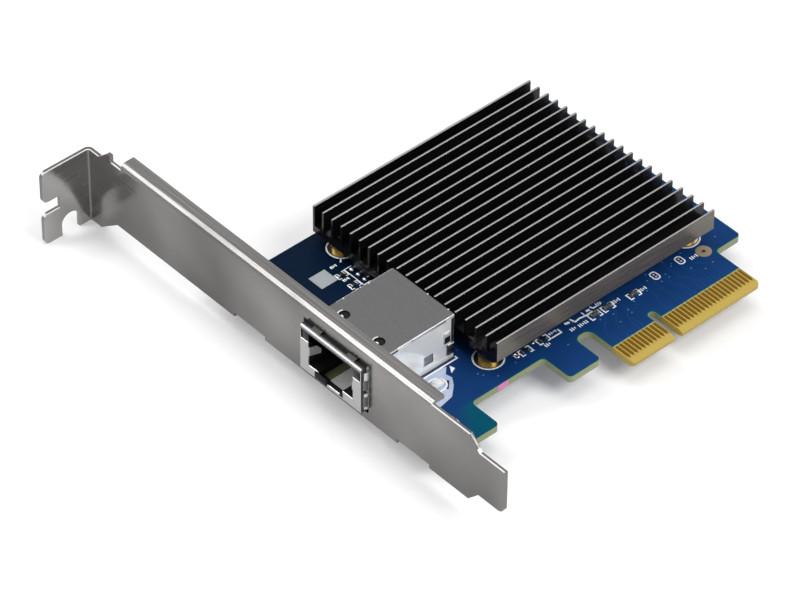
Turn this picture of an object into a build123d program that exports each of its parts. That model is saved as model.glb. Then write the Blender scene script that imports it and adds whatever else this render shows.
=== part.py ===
from build123d import *
import os
from math import cos, radians, sin

os.makedirs("parts", exist_ok=True)

# A network interface card with one network jack and a full-height bracket, in millimetres.
# X runs from the bracket into the computer, Y from the edge connector towards the bracket's
# screw tab, Z out of the component side. The origin is the middle of the key notch, on the
# finger edge, in the plane of the component side.

# Edge connector: gold contacts either side of the key notch
CONTACT_PITCH = 1.0
CONTACT_WIDTH = 0.7
CONTACT_THICK = 0.04
CONTACT_BOTTOM = 1.4
CONTACT_TOP = 5.5
CONTACT_TAPER = 0.7
SHORT_ROW_COUNT = 11
LONG_ROW_COUNT = 21
KEY_GAP = 3.0
ROW_MARGIN = 0.65
NOTCH_WIDTH = 1.9
NOTCH_TOP = 8.25
TONGUE_LEFT = -(KEY_GAP / 2 + (SHORT_ROW_COUNT - 1) * CONTACT_PITCH + ROW_MARGIN)
TONGUE_RIGHT = KEY_GAP / 2 + (LONG_ROW_COUNT - 1) * CONTACT_PITCH + ROW_MARGIN
BEVEL_DEPTH = 0.45
BEVEL_LENGTH = 1.1

# Circuit board
BOARD_THICK = 1.57
BOARD_LEFT = -56.9
BOARD_RIGHT = 29.2
BOARD_TOP = 68.4
BOARD_CORNER = 1.0
SHOULDER_Y = 12.5
SLOT_LEFT = -16.0
SLOT_ROUND = 1.6
HOOK_LEFT = -24.1
HOOK_BOTTOM = 5.0
LOWER_TAB_RIGHT = -42.8
LOWER_TAB_BOTTOM = 4.6
TOOLING_X = 20.3
TOOLING_Y = 13.9
TOOLING_HOLE = 1.1
UNDERSIDE = -BOARD_THICK
NEAR = 0.1
OVERCUT = 0.01

# Bracket: one folded steel sheet
SHEET = 0.86
BEND_INNER = 0.4
BEND_OUTER = BEND_INNER + SHEET
BEND_FLAT = 0.4
BEND_ARM = BEND_OUTER + BEND_FLAT
FACE_X = -59.0
FACE_INNER_X = FACE_X + SHEET
FACE_LOW = UNDERSIDE - SHEET
FACE_HIGH = 14.5
FLANGE_DEPTH = 3.4
SEAT_Y = 106.4
NECK_LENGTH = 3.1
FLARE_RISE = 3.7
RELIEF_LENGTH = 3.2
RELIEF_SHOULDER = 1.0
LOWER_FLARE = 5.2
FLANGE_START = 6.3
BARE_EDGE_HIGH = 14.1
TAPER_START = -4.3
TIP_START = -7.0
TIP_END = -13.85
TIP_LOW = 0.45
TIP_HIGH = 11.1
TIP_ROUND = 1.6
NECK_START = SEAT_Y - NECK_LENGTH
LOWER_FLARE_START = NECK_START - LOWER_FLARE
RELIEF_END = NECK_START - FLARE_RISE
UPPER_FLARE_START = RELIEF_END + RELIEF_SHOULDER
FLANGE_END = RELIEF_END - RELIEF_LENGTH
RELIEF_HIGH = 12.8
TAB_WIDTH = 18.42
TAB_LOW = -6.35
TAB_HIGH = TAB_LOW + TAB_WIDTH
TAB_REACH = 11.8
TAB_X = FACE_X - TAB_REACH
TAB_CORNER = 1.3
TAB_NOTCH_DEPTH = 4.2
TAB_NOTCH_LOW = 1.2
TAB_NOTCH_HIGH = 4.3
SCREW_SLOT_WIDTH = 4.42
SCREW_SLOT_REACH = 5.2
SCREW_SLOT_X = FACE_X - SCREW_SLOT_REACH
SCREW_SLOT_CENTRE = -3.65
LUG_WIDTH = 9.0
LUG_END = -46.6
LUG_CORNER = 2.0
LUG_HOLE_X = -51.0
LUG_YS = (11.0, 58.0)
LUG_SCREW = 2.9
LUG_SCREW_FIT = 0.02
BOARD_SCREW_HOLE = 3.2
PAN_HEAD = 5.4
PAN_HEIGHT = 1.7
PAN_CHAMFER = 0.6
LUG_SCREW_TIP = -3.6

# Network jack
JACK_PROUD = 1.4
JACK_LENGTH = 23.65
JACK_HEIGHT = 11.07
JACK_Y = 32.83
JACK_FRONT = FACE_X - JACK_PROUD
JACK_REAR = JACK_FRONT + JACK_LENGTH
SHIELD = 0.25
MOUTH_WIDTH = 12.7
LENS_WIDTH = 1.775
LENS_WALL = 0.3
JACK_WIDTH = MOUTH_WIDTH + 2 * (LENS_WIDTH + LENS_WALL + SHIELD)
CUTOUT_GAP = 0.6
CUTOUT_LOW = -0.55
CUTOUT_CORNER = 0.4
ROLL = 0.9
LIP_FIT = 0.1
HOUSING_LENGTH = 15.6
BACK_WALL = 1.1
MOUTH_DEPTH = HOUSING_LENGTH - BACK_WALL
MOUTH_LOW = 2.1
MOUTH_ROOF = 1.07
MOUTH_HIGH = JACK_HEIGHT - MOUTH_ROOF
LATCH_WIDTH = 6.8
LATCH_LOW = 0.75
LENS_HEIGHT = 2.2
LENS_LOW = MOUTH_HIGH - LENS_HEIGHT
LENS_FIT = 0.05
LAMP_LENGTH = 1.6
LAMP_WALL = 2.0
LENS_LENGTH = HOUSING_LENGTH - LAMP_LENGTH - LAMP_WALL
TONGUE_LENGTH = 2.4
TONGUE_RISE = 0.75
TONGUE_THICK = 0.2
TONGUE_LOW = 4.4
TONGUE_HIGH = 6.5
DIMPLE = 2.4
DIMPLE_OFFSET = 5.0
DIMPLE_BACK = 7.9
WINDOW_BACK = 17.2
WINDOW_WIDTH = 2.3
WINDOW_LOW = 2.0
WINDOW_HIGH = 4.2
SEAM_SLOT = 1.9
SEAM_BACKS = (8.4, 20.6)
SEAM_HEIGHT = 0.45
SEAM_DROP = 0.5
LEG_WIDTH = 1.2
LEG_BACKS = (10.4, 19.4)
LEG_TIP = -2.9
LEG_HOLE_FIT = 0.25
SPRING_BOW = 0.45
SPRING_THICK = 0.2
SPRING_SPAN = 2.6
SPRING_START = 0.5
SPRING_WIDTH = 2.4
TOP_SPRING_OFFSET = 4.9
SIDE_SPRING_LOWS = (1.2, 5.4)
POST = 3.2
POST_FIT = 0.05
POST_BACK = 7.2
POST_OFFSET = 5.2
POST_TIP = -2.6
JACK_CONTACT_COUNT = 8
JACK_CONTACT_PITCH = 1.02
WIRE = 0.35
WIRE_ROUTE = ((0.0, 0.8), (8.2, 0.8), (9.0, 1.3), (2.2, 3.4))
JACK_PIN = 0.5
JACK_PIN_HOLE = 0.9
JACK_PIN_HOLE_SIDES = 8
JACK_PIN_PITCH = 2.04
JACK_PIN_COUNT = 7
JACK_PIN_BACKS = (17.6, 20.4)
JACK_PIN_SHIFTS = (0.25, -0.25)
JACK_PIN_TIP = -2.9

# Heat sink: one black extrusion with twenty fins, its base stepped up over the power parts
SINK_LEFT = -34.6
SINK_LENGTH = 57.8
FIN_TOP = 8.7
FIN_THICK = 0.5
FIRST_FIN_Y = 14.6
WIDE_PITCH = 2.92
WIDE_GAP_COUNT = 6
NARROW_PITCH = 2.69
NARROW_GAP_COUNT = 13
FRONT_BASE_LOW = 3.0
FRONT_BASE_HIGH = 5.1
REAR_BASE_LOW = 2.1
REAR_BASE_HIGH = 3.8
BASE_BEVEL_RISE = 0.95
BASE_BEVEL_RUN = 1.3
END_BEVEL = 1.1
SINK_RIGHT = SINK_LEFT + SINK_LENGTH
STEP_FIN_Y = FIRST_FIN_Y + WIDE_GAP_COUNT * WIDE_PITCH
LAST_FIN_Y = STEP_FIN_Y + NARROW_GAP_COUNT * NARROW_PITCH
POCKET = 5.2
POCKET_LOW = 4.1
POCKET_HIGH = 6.2

# Heat sink fasteners: brass barrels pressed into the base, screwed from the solder side
FASTENER_LEFT_INSET = 2.5
FASTENER_RIGHT_INSET = 2.9
FASTENER_LEFT = SINK_LEFT + FASTENER_LEFT_INSET
FASTENER_RIGHT = SINK_RIGHT - FASTENER_RIGHT_INSET
FASTENER_FRONT = 19.3
FASTENER_REAR = 61.6
BARREL = 4.2
BARREL_NECK = 3.0
BARREL_BORE = 2.0
SINK_SCREW = 1.9
SINK_SCREW_HOLE = 2.4
SINK_SCREW_HEAD = 3.8
SINK_SCREW_HEAD_HEIGHT = 1.2
SCREW_FLANGE = 4.8
SCREW_FLANGE_THICK = 0.4
SCREW_ENGAGE = 1.6

# Chips under the heat sink, as centre x, centre y and side
PAD_THICK = 0.3
CONTROLLER = (4.0, 48.0, 17.0)
TRANSCEIVER = (-18.0, 48.0, 19.0)
BALL_GAP = 0.3
BALL_MARGIN = 0.6
CHIP_CHAMFER = 0.3

# Small parts, as length, width and height
INDUCTOR = (6.4, 6.4, 2.7)
INDUCTOR_CHAMFER = 0.7
POLYMER = (7.2, 4.2, 2.6)
REGULATOR = (4.0, 4.0, 0.9)
CRYSTAL = (3.2, 2.5, 0.75)
MEMORY = (4.9, 3.9, 1.5)
CAPACITOR = (1.6, 0.8, 0.75)
RESISTOR = (1.6, 0.8, 0.45)
SMALL_CAPACITOR = (1.0, 0.5, 0.5)
LAMP = (2.4, 2.0, 0.9)
LAMP_X = -44.3
LAMP_Y = 20.3
INDUCTOR_Y = 28.4
INDUCTOR_XS = (-24.0, -8.0, 8.0)
POLYMER_Y = 23.0
POLYMER_XS = (-16.0, 0.0, 14.2)
CRYSTAL_X = -6.5
CRYSTAL_Y = 54.0
MEMORY_X = 12.0
MEMORY_Y = 30.0
LEAD_WIDTH = 0.4
LEAD_REACH = 1.0
MEMORY_LEAD_COUNT = 4
MEMORY_PITCH = 1.27
LEAD_THICK = 0.3
SMALL_REGULATOR = (2.5, 4.8, 1.5)
SMALL_REGULATOR_LEFT = -34.0
SMALL_REGULATOR_Y = 53.7
SMALL_REGULATOR_PITCH = 1.9
SMALL_REGULATOR_LEAD_COUNT = 3
CHIP_ROW_PITCH = 4.0
CHIP_ROW_COUNT = 5
CHIP_ROW_GAP = 3.0
FRONT_CAPACITORS = ((-8.4, 14.6), (-5.0, 14.6), (1.3, 13.9))
RESISTOR_PLACES = ((-37.5, 55.7), (-37.5, 51.9), (-25.4, 16.1), (-20.7, 16.2))
RING_COUNT = 12
RING_SHARE = 0.33


def middle(low, high):
    """Halfway between two values."""
    return (low + high) / 2


def area(x0, x1, y0, y1):
    """Rectangle between two corners of a sketch plane."""
    return Pos(middle(x0, x1), middle(y0, y1)) * Rectangle(x1 - x0, y1 - y0)


def block(x0, x1, y0, y1, z0, z1):
    """Box between two corners."""
    centre = Pos(middle(x0, x1), middle(y0, y1), middle(z0, z1))
    return centre * Box(x1 - x0, y1 - y0, z1 - z0)


def rod(x, y, z0, z1, diameter):
    """Upright cylinder from z0 to z1."""
    return Pos(x, y, middle(z0, z1)) * Cylinder(diameter / 2, z1 - z0)


def along_x(profile, x0, x1):
    """Extrude a profile drawn in Y and Z from x0 to x1."""
    return extrude(Plane.YZ.offset(x0) * profile, x1 - x0, dir=(1, 0, 0))


def along_y(profile, y0, y1):
    """Extrude a profile drawn in X and Z from y0 to y1."""
    return extrude(Plane.XZ.offset(-y0) * profile, y1 - y0, dir=(0, 1, 0))


def along_z(profile, z0, z1):
    """Extrude a profile drawn in X and Y from z0 to z1."""
    return extrude(Pos(0, 0, z0) * profile, z1 - z0, dir=(0, 0, 1))


def corner(profile, x, y):
    """Vertex of a profile that lies at a point."""
    return profile.vertices().sort_by_distance((x, y, 0))[0]


def rounded(profile, x, y, radius):
    """Round one corner of a profile."""
    return fillet(corner(profile, x, y), radius)


def spread(count, pitch):
    """Offsets of a centred row."""
    return [(i - (count - 1) / 2) * pitch for i in range(count)]


def save(name, pieces):
    """Write one node, made of one solid or of several like ones."""
    shape = Compound(children=list(pieces)) if isinstance(pieces, (list, tuple)) else pieces
    shape.label = name
    export_step(shape, f"parts/{name}.step")


def fasteners():
    """Centres of the four heat sink fasteners, each with the height of the base above it."""
    rows = ((FASTENER_FRONT, FRONT_BASE_LOW), (FASTENER_REAR, REAR_BASE_LOW))
    return [(x, y, low) for x in (FASTENER_LEFT, FASTENER_RIGHT) for y, low in rows]


def contact_xs():
    """Contact centres along the finger edge, either side of the key notch."""
    short = [-KEY_GAP / 2 - i * CONTACT_PITCH for i in range(SHORT_ROW_COUNT)]
    return short + [KEY_GAP / 2 + i * CONTACT_PITCH for i in range(LONG_ROW_COUNT)]


def jack_pin_centres():
    """Centres of the jack's signal pins, in two staggered rows."""
    rows = zip(JACK_PIN_BACKS, JACK_PIN_SHIFTS)
    return [(JACK_FRONT + back, JACK_Y + offset + shift * JACK_PIN_PITCH)
            for back, shift in rows for offset in spread(JACK_PIN_COUNT, JACK_PIN_PITCH)]


def jack_sides():
    """Y of the shield's two side walls, with the outward direction of each."""
    return ((JACK_Y - JACK_WIDTH / 2, -1), (JACK_Y + JACK_WIDTH / 2, 1))


def board_outline():
    """Board outline with finger tongue, key notch, open slot, hook and recess."""
    shape = area(BOARD_LEFT, BOARD_RIGHT, SHOULDER_Y, BOARD_TOP)
    shape += area(TONGUE_LEFT, TONGUE_RIGHT, 0, SHOULDER_Y)
    shape += area(HOOK_LEFT, SLOT_LEFT, HOOK_BOTTOM, SHOULDER_Y)
    shape += area(BOARD_LEFT, LOWER_TAB_RIGHT, LOWER_TAB_BOTTOM, SHOULDER_Y)
    slot_corners = [corner(shape, x, SHOULDER_Y) for x in (SLOT_LEFT, TONGUE_LEFT)]
    shape = fillet(slot_corners, SLOT_ROUND)
    slot_floor = SHOULDER_Y - SLOT_ROUND - NEAR
    in_slot = (SLOT_LEFT - NEAR, TONGUE_LEFT + NEAR)
    rest = [v for v in shape.vertices() if v.Y < slot_floor or not in_slot[0] < v.X < in_slot[1]]
    shape = fillet(rest, BOARD_CORNER)
    notch = area(-NOTCH_WIDTH / 2, NOTCH_WIDTH / 2, -1, NOTCH_TOP - NOTCH_WIDTH / 2)
    notch += Pos(0, NOTCH_TOP - NOTCH_WIDTH / 2) * Circle(NOTCH_WIDTH / 2)
    return shape - notch


def board_holes():
    """Round holes through the board, the small holes of the jack's pins and the slots of its legs."""
    round_holes = [(x, y, SINK_SCREW_HOLE) for x, y, low in fasteners()]
    round_holes += [(LUG_HOLE_X, y, BOARD_SCREW_HOLE) for y in LUG_YS]
    post_hole = POST + 2 * POST_FIT
    round_holes += [(JACK_FRONT + POST_BACK, JACK_Y + side * POST_OFFSET, post_hole) for side in (-1, 1)]
    round_holes.append((TOOLING_X, TOOLING_Y, TOOLING_HOLE))
    holes = [Pos(x, y) * Circle(diameter / 2) for x, y, diameter in round_holes]
    pin_hole = RegularPolygon(JACK_PIN_HOLE / 2, JACK_PIN_HOLE_SIDES)
    holes += [Pos(x, y) * pin_hole for x, y in jack_pin_centres()]
    slot = Rectangle(LEG_WIDTH + 2 * LEG_HOLE_FIT, SHIELD + 2 * LEG_HOLE_FIT)
    return holes + [Pos(JACK_FRONT + back, y - side * SHIELD / 2) * slot
                    for back in LEG_BACKS for y, side in jack_sides()]


def circuit_board():
    """Board with a bevel on both faces of the finger edge."""
    outline = board_outline()
    for hole in board_holes():
        outline -= hole
    board = along_z(outline, UNDERSIDE, 0)
    for face_z, inward in ((0, -1), (UNDERSIDE, 1)):
        wedge = Polygon((-1, face_z - inward), (BEVEL_LENGTH, face_z - inward), (BEVEL_LENGTH, face_z),
                        (0, face_z + inward * BEVEL_DEPTH), (-1, face_z + inward * BEVEL_DEPTH), align=None)
        board -= along_x(wedge, TONGUE_LEFT - 1, TONGUE_RIGHT + 1)
    return board


def edge_contacts():
    """Gold contacts on both faces, each tapered towards the finger edge."""
    half = CONTACT_WIDTH / 2
    pad = Polygon((-half, CONTACT_TOP), (half, CONTACT_TOP), (half, CONTACT_BOTTOM + CONTACT_TAPER),
                  (0, CONTACT_BOTTOM), (-half, CONTACT_BOTTOM + CONTACT_TAPER), align=None)
    solids = [along_z(pad, 0, CONTACT_THICK), along_z(pad, UNDERSIDE - CONTACT_THICK, UNDERSIDE)]
    return [Pos(x, 0, 0) * solid for solid in solids for x in contact_xs()]


def bracket_face():
    """Flat face of the bracket, from the tapered tip to the neck below the tab."""
    high = FACE_HIGH - BEND_OUTER
    points = ((TAPER_START, FACE_LOW), (LOWER_FLARE_START, FACE_LOW), (NECK_START, TAB_LOW),
              (SEAT_Y - BEND_INNER, TAB_LOW), (SEAT_Y - BEND_INNER, TAB_HIGH), (NECK_START, TAB_HIGH),
              (UPPER_FLARE_START, FACE_HIGH), (RELIEF_END, FACE_HIGH), (RELIEF_END, RELIEF_HIGH),
              (FLANGE_END, RELIEF_HIGH), (FLANGE_END, high), (FLANGE_START, high),
              (FLANGE_START, BARE_EDGE_HIGH), (TAPER_START, BARE_EDGE_HIGH), (TIP_START, TIP_HIGH),
              (TIP_END, TIP_HIGH), (TIP_END, TIP_LOW), (TIP_START, TIP_LOW))
    shape = make_face(Polyline(*points, close=True))
    shape = rounded(shape, TIP_END, TIP_LOW, TIP_ROUND)
    half = JACK_WIDTH / 2 + CUTOUT_GAP
    cutout = area(JACK_Y - half, JACK_Y + half, CUTOUT_LOW, JACK_HEIGHT + CUTOUT_GAP)
    shape -= fillet(cutout.vertices(), CUTOUT_CORNER)
    return along_x(shape, FACE_X, FACE_INNER_X)


def bracket_flange():
    """Long edge of the bracket, folded in over the card."""
    profile = area(FACE_X, FACE_INNER_X, FACE_HIGH - BEND_ARM, FACE_HIGH)
    profile += area(FACE_X, FACE_X + FLANGE_DEPTH, FACE_HIGH - SHEET, FACE_HIGH)
    profile = rounded(profile, FACE_X, FACE_HIGH, BEND_OUTER)
    profile = rounded(profile, FACE_INNER_X, FACE_HIGH - SHEET, BEND_INNER)
    return along_y(profile, FLANGE_START, FLANGE_END)


def bracket_tab():
    """Screw tab folded outward, with its notch and its open screw slot."""
    fold = area(FACE_X, FACE_INNER_X, SEAT_Y + SHEET - BEND_ARM, SEAT_Y + SHEET)
    fold += area(FACE_INNER_X - BEND_ARM, FACE_INNER_X, SEAT_Y, SEAT_Y + SHEET)
    fold = rounded(fold, FACE_INNER_X, SEAT_Y + SHEET, BEND_OUTER)
    fold = rounded(fold, FACE_X, SEAT_Y, BEND_INNER)
    plate = area(TAB_X, FACE_X - BEND_INNER, TAB_LOW, TAB_HIGH)
    plate -= area(TAB_X, TAB_X + TAB_NOTCH_DEPTH, TAB_NOTCH_LOW, TAB_NOTCH_HIGH)
    slot_left, slot_right = SCREW_SLOT_X - SCREW_SLOT_WIDTH / 2, SCREW_SLOT_X + SCREW_SLOT_WIDTH / 2
    plate -= area(slot_left, slot_right, TAB_LOW, SCREW_SLOT_CENTRE)
    corners = [v for v in plate.vertices() if v.X < TAB_X + NEAR]
    plate = fillet(corners, TAB_CORNER)
    plate -= Pos(SCREW_SLOT_X, SCREW_SLOT_CENTRE) * Circle(SCREW_SLOT_WIDTH / 2)
    return along_z(fold, TAB_LOW, TAB_HIGH) + along_y(plate, SEAT_Y, SEAT_Y + SHEET)


def bracket_lug(y):
    """Lug folded in under the board, with a tapped hole."""
    profile = area(FACE_X, FACE_INNER_X, FACE_LOW, FACE_LOW + BEND_ARM)
    profile += area(FACE_X, LUG_END, FACE_LOW, UNDERSIDE)
    profile = rounded(profile, FACE_X, FACE_LOW, BEND_OUTER)
    profile = rounded(profile, FACE_INNER_X, UNDERSIDE, BEND_INNER)
    lug = along_y(profile, y - LUG_WIDTH / 2, y + LUG_WIDTH / 2)
    ends = lug.edges().filter_by(Axis.Z).group_by(Axis.X)[-1]
    lug = fillet(ends, LUG_CORNER)
    return lug - rod(LUG_HOLE_X, y, FACE_LOW - 1, UNDERSIDE + 1, LUG_SCREW + 2 * LUG_SCREW_FIT)


def bracket():
    """Whole bracket; the face is cut back where each lug bends away from its lower edge."""
    shape = bracket_face()
    for y in LUG_YS:
        half = LUG_WIDTH / 2
        shape -= block(FACE_X - 1, FACE_INNER_X + 1, y - half, y + half, FACE_LOW - 1, FACE_LOW + BEND_ARM)
        shape += bracket_lug(y)
    return shape + bracket_flange() + bracket_tab()


def bracket_screws():
    """Pan head screws through the board into the lugs."""
    screw = rod(LUG_HOLE_X, 0, LUG_SCREW_TIP, 0, LUG_SCREW)
    head = rod(LUG_HOLE_X, 0, 0, PAN_HEIGHT, PAN_HEAD)
    head = chamfer(head.edges().filter_by(GeomType.CIRCLE).sort_by(Axis.Z)[-1], PAN_CHAMFER)
    return [Pos(0, y, 0) * (screw + head) for y in LUG_YS]


def bow(start, rise):
    """Profile of one bowed spring tab that stands out from a shield wall."""
    end = start + SPRING_SPAN
    outer = ThreePointArc((start, 0), (middle(start, end), rise), (end, 0))
    inner = ThreePointArc((end - SPRING_THICK, 0), (middle(start, end), rise - SPRING_THICK),
                          (start + SPRING_THICK, 0))
    return make_face([outer, Line(outer @ 1, inner @ 0), inner, Line(inner @ 1, outer @ 0)])


def shield_springs():
    """Spring tabs that touch the bracket round the cut-out."""
    start = JACK_FRONT + SPRING_START
    half = SPRING_WIDTH / 2
    tabs = []
    for offset in (-TOP_SPRING_OFFSET, TOP_SPRING_OFFSET):
        profile = Pos(0, JACK_HEIGHT) * bow(start, SPRING_BOW)
        tabs.append(along_y(profile, JACK_Y + offset - half, JACK_Y + offset + half))
    for wall_y, side in jack_sides():
        profile = Pos(0, wall_y) * bow(start, SPRING_BOW)
        if side < 0:
            profile = mirror(profile, Plane.XZ.offset(-wall_y))
        tabs += [along_z(profile, low, low + SPRING_WIDTH) for low in SIDE_SPRING_LOWS]
    return tabs


def shield_legs():
    """Solder legs of the shield."""
    half = LEG_WIDTH / 2
    legs = []
    for wall_y, side in jack_sides():
        y0, y1 = sorted((wall_y, wall_y - side * SHIELD))
        for x in (JACK_FRONT + back for back in LEG_BACKS):
            legs.append(block(x - half, x + half, y0, y1, LEG_TIP, SHIELD))
    return legs


def shield_tongues():
    """Contact tongues bent back and inward from the two sides of the mouth."""
    root, tip = JACK_FRONT + SHIELD / 2, JACK_FRONT + TONGUE_LENGTH
    tongues = []
    for side in (-1, 1):
        edge = JACK_Y + side * MOUTH_WIDTH / 2
        bend = edge - side * TONGUE_THICK
        route = Polyline((root, edge + side * TONGUE_THICK), (root, bend), (tip, bend - side * TONGUE_RISE))
        tongues.append(along_z(trace(route, TONGUE_THICK), TONGUE_LOW, TONGUE_HIGH))
    return tongues


def shield_cuts():
    """Stepped mouth, light windows, latch windows, seam slots and round holes of the shield."""
    front = JACK_FRONT - 1, JACK_FRONT + SHIELD + OVERCUT
    cuts = [block(*front, JACK_Y - MOUTH_WIDTH / 2, JACK_Y + MOUTH_WIDTH / 2, MOUTH_LOW, MOUTH_HIGH),
            block(*front, JACK_Y - LATCH_WIDTH / 2, JACK_Y + LATCH_WIDTH / 2, LATCH_LOW, MOUTH_HIGH)]
    for wall_y, side in jack_sides():
        inner, outer = sorted((wall_y - side * SHIELD, JACK_Y + side * MOUTH_WIDTH / 2))
        cuts.append(block(*front, inner, outer, LENS_LOW, MOUTH_HIGH))
        reach = wall_y - 1, wall_y + 1
        window = JACK_FRONT + WINDOW_BACK
        half = WINDOW_WIDTH / 2
        cuts.append(block(window - half, window + half, *reach, WINDOW_LOW, WINDOW_HIGH))
        for x in (JACK_FRONT + back for back in SEAM_BACKS):
            high = JACK_HEIGHT - SEAM_DROP
            cuts.append(block(x - SEAM_SLOT / 2, x + SEAM_SLOT / 2, *reach, high - SEAM_HEIGHT, high))
    for side in (-1, 1):
        y = JACK_Y + side * DIMPLE_OFFSET
        cuts.append(rod(JACK_FRONT + DIMPLE_BACK, y, JACK_HEIGHT - 1, JACK_HEIGHT + 1, DIMPLE))
    return cuts


def jack_shield():
    """Folded sheet cover of the jack, open below and at the mouth, with a rolled upper lip."""
    (y0, _), (y1, _) = jack_sides()
    roof = JACK_HEIGHT - SHIELD
    shape = block(JACK_FRONT, JACK_REAR, y0, y1, 0, JACK_HEIGHT)
    shape -= block(JACK_FRONT + SHIELD, JACK_REAR - SHIELD, y0 + SHIELD, y1 - SHIELD, -1, roof)
    for cut in shield_cuts():
        shape -= cut
    lip = Pos(JACK_FRONT + ROLL / 2, JACK_HEIGHT - ROLL / 2) * Circle(ROLL / 2)
    lip -= area(JACK_FRONT + SHIELD, JACK_FRONT + ROLL, JACK_HEIGHT - ROLL, roof)
    front_edge = block(JACK_FRONT, JACK_FRONT + SHIELD, y0, y1, roof, JACK_HEIGHT)
    shape = shape - front_edge + along_y(lip, y0, y1)
    for piece in shield_springs() + shield_legs() + shield_tongues():
        shape += piece
    return shape


def lens_box(side, fit):
    """Space of one light lens along an upper corner of the mouth, widened by a fit except below."""
    inner = JACK_Y + side * MOUTH_WIDTH / 2
    y0, y1 = sorted((inner, inner + side * LENS_WIDTH))
    start = JACK_FRONT + SHIELD
    return block(start - fit, start + LENS_LENGTH, y0 - fit, y1 + fit, LENS_LOW, MOUTH_HIGH + fit)


def lamp_box(side, fit):
    """Space of the small diode behind one light lens."""
    y = JACK_Y + side * (MOUTH_WIDTH + LENS_WIDTH) / 2
    start = JACK_FRONT + SHIELD + LENS_LENGTH
    half = LENS_WIDTH / 2
    z0, z1 = middle(LENS_LOW, MOUTH_HIGH) - half, middle(LENS_LOW, MOUTH_HIGH) + half
    return block(start, start + LAMP_LENGTH + fit, y - half - fit, y + half + fit, z0, z1 + fit)


def jack_housing():
    """Moulded insulator with the stepped mouth, the light channels and two locating posts."""
    (y0, _), (y1, _) = jack_sides()
    start = JACK_FRONT + SHIELD
    shape = block(start, start + HOUSING_LENGTH, y0 + SHIELD, y1 - SHIELD, 0, JACK_HEIGHT - SHIELD)
    half, latch, deep = MOUTH_WIDTH / 2, LATCH_WIDTH / 2, start + MOUTH_DEPTH
    shape -= block(start - 1, deep, JACK_Y - half, JACK_Y + half, MOUTH_LOW, MOUTH_HIGH)
    shape -= block(start - 1, deep, JACK_Y - latch, JACK_Y + latch, LATCH_LOW, MOUTH_HIGH)
    lip_low, lip_back = JACK_HEIGHT - ROLL - LIP_FIT, JACK_FRONT + ROLL + LIP_FIT
    shape -= block(start - 1, lip_back, y0, y1, lip_low, JACK_HEIGHT)
    for side in (-1, 1):
        shape -= lens_box(side, LENS_FIT)
        shape -= lamp_box(side, LENS_FIT)
        shape += rod(JACK_FRONT + POST_BACK, JACK_Y + side * POST_OFFSET, POST_TIP, 0, POST)
    return shape


def jack_module():
    """Encapsulated magnetics behind the mouth."""
    (y0, _), (y1, _) = jack_sides()
    start = JACK_FRONT + SHIELD + HOUSING_LENGTH
    return block(start, JACK_REAR - SHIELD, y0 + SHIELD, y1 - SHIELD, 0, JACK_HEIGHT - SHIELD)


def jack_pins():
    """Square signal pins from the magnetics down through the board."""
    half = JACK_PIN / 2
    pin = block(-half, half, -half, half, JACK_PIN_TIP, 0)
    return [Pos(x, y, 0) * pin for x, y in jack_pin_centres()]


def jack_contacts():
    """Spring wires from the back wall of the mouth, bent back down under its roof."""
    rear = JACK_FRONT + SHIELD + MOUTH_DEPTH
    route = Polyline([(rear - forward, MOUTH_HIGH - drop) for forward, drop in WIRE_ROUTE])
    profile = trace(route, WIRE)
    return [along_y(profile, JACK_Y + offset - WIRE / 2, JACK_Y + offset + WIRE / 2)
            for offset in spread(JACK_CONTACT_COUNT, JACK_CONTACT_PITCH)]


def heat_sink_profile():
    """Section of the extrusion in Y and Z: stepped base, twenty fins, bevelled lower edge."""
    half = FIN_THICK / 2
    front, rear = FIRST_FIN_Y - half, LAST_FIN_Y + half
    shape = area(front, STEP_FIN_Y + half, FRONT_BASE_LOW, FRONT_BASE_HIGH)
    shape += area(STEP_FIN_Y - half, rear, REAR_BASE_LOW, REAR_BASE_HIGH)
    shape += area(STEP_FIN_Y - half, STEP_FIN_Y + half, REAR_BASE_LOW, FRONT_BASE_HIGH)
    for y in fin_centres():
        shape += area(y - half, y + half, REAR_BASE_HIGH if y > STEP_FIN_Y else FRONT_BASE_LOW, FIN_TOP)
    bevel = Polygon((front, FRONT_BASE_LOW), (front + BASE_BEVEL_RUN, FRONT_BASE_LOW),
                    (front, FRONT_BASE_LOW + BASE_BEVEL_RISE), align=None)
    return shape - bevel


def fin_centres():
    """Fin centres: wider gaps over the stepped-up base, narrower ones behind."""
    wide = [FIRST_FIN_Y + i * WIDE_PITCH for i in range(WIDE_GAP_COUNT + 1)]
    return wide + [STEP_FIN_Y + i * NARROW_PITCH for i in range(1, NARROW_GAP_COUNT + 1)]


def heat_sink():
    """Extruded heat sink with barrel holes and a round pocket at the lower left corner."""
    shape = along_x(heat_sink_profile(), SINK_LEFT, SINK_RIGHT)
    corner_cut = Polygon((SINK_RIGHT, FRONT_BASE_LOW), (SINK_RIGHT, FRONT_BASE_LOW + END_BEVEL),
                         (SINK_RIGHT - END_BEVEL, FRONT_BASE_LOW), align=None)
    shape -= along_y(corner_cut, FIRST_FIN_Y - FIN_THICK, STEP_FIN_Y - FIN_THICK / 2)
    for x, y, low in fasteners():
        shape -= rod(x, y, low - 1, neck_top(x, y), BARREL_NECK)
    return shape - rod(FASTENER_LEFT, FASTENER_FRONT, POCKET_LOW, POCKET_HIGH, POCKET)


def neck_top(x, y):
    """Height to which a barrel's neck reaches through the base."""
    if (x, y) == (FASTENER_LEFT, FASTENER_FRONT):
        return POCKET_LOW
    return FRONT_BASE_HIGH if y == FASTENER_FRONT else REAR_BASE_HIGH


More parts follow.
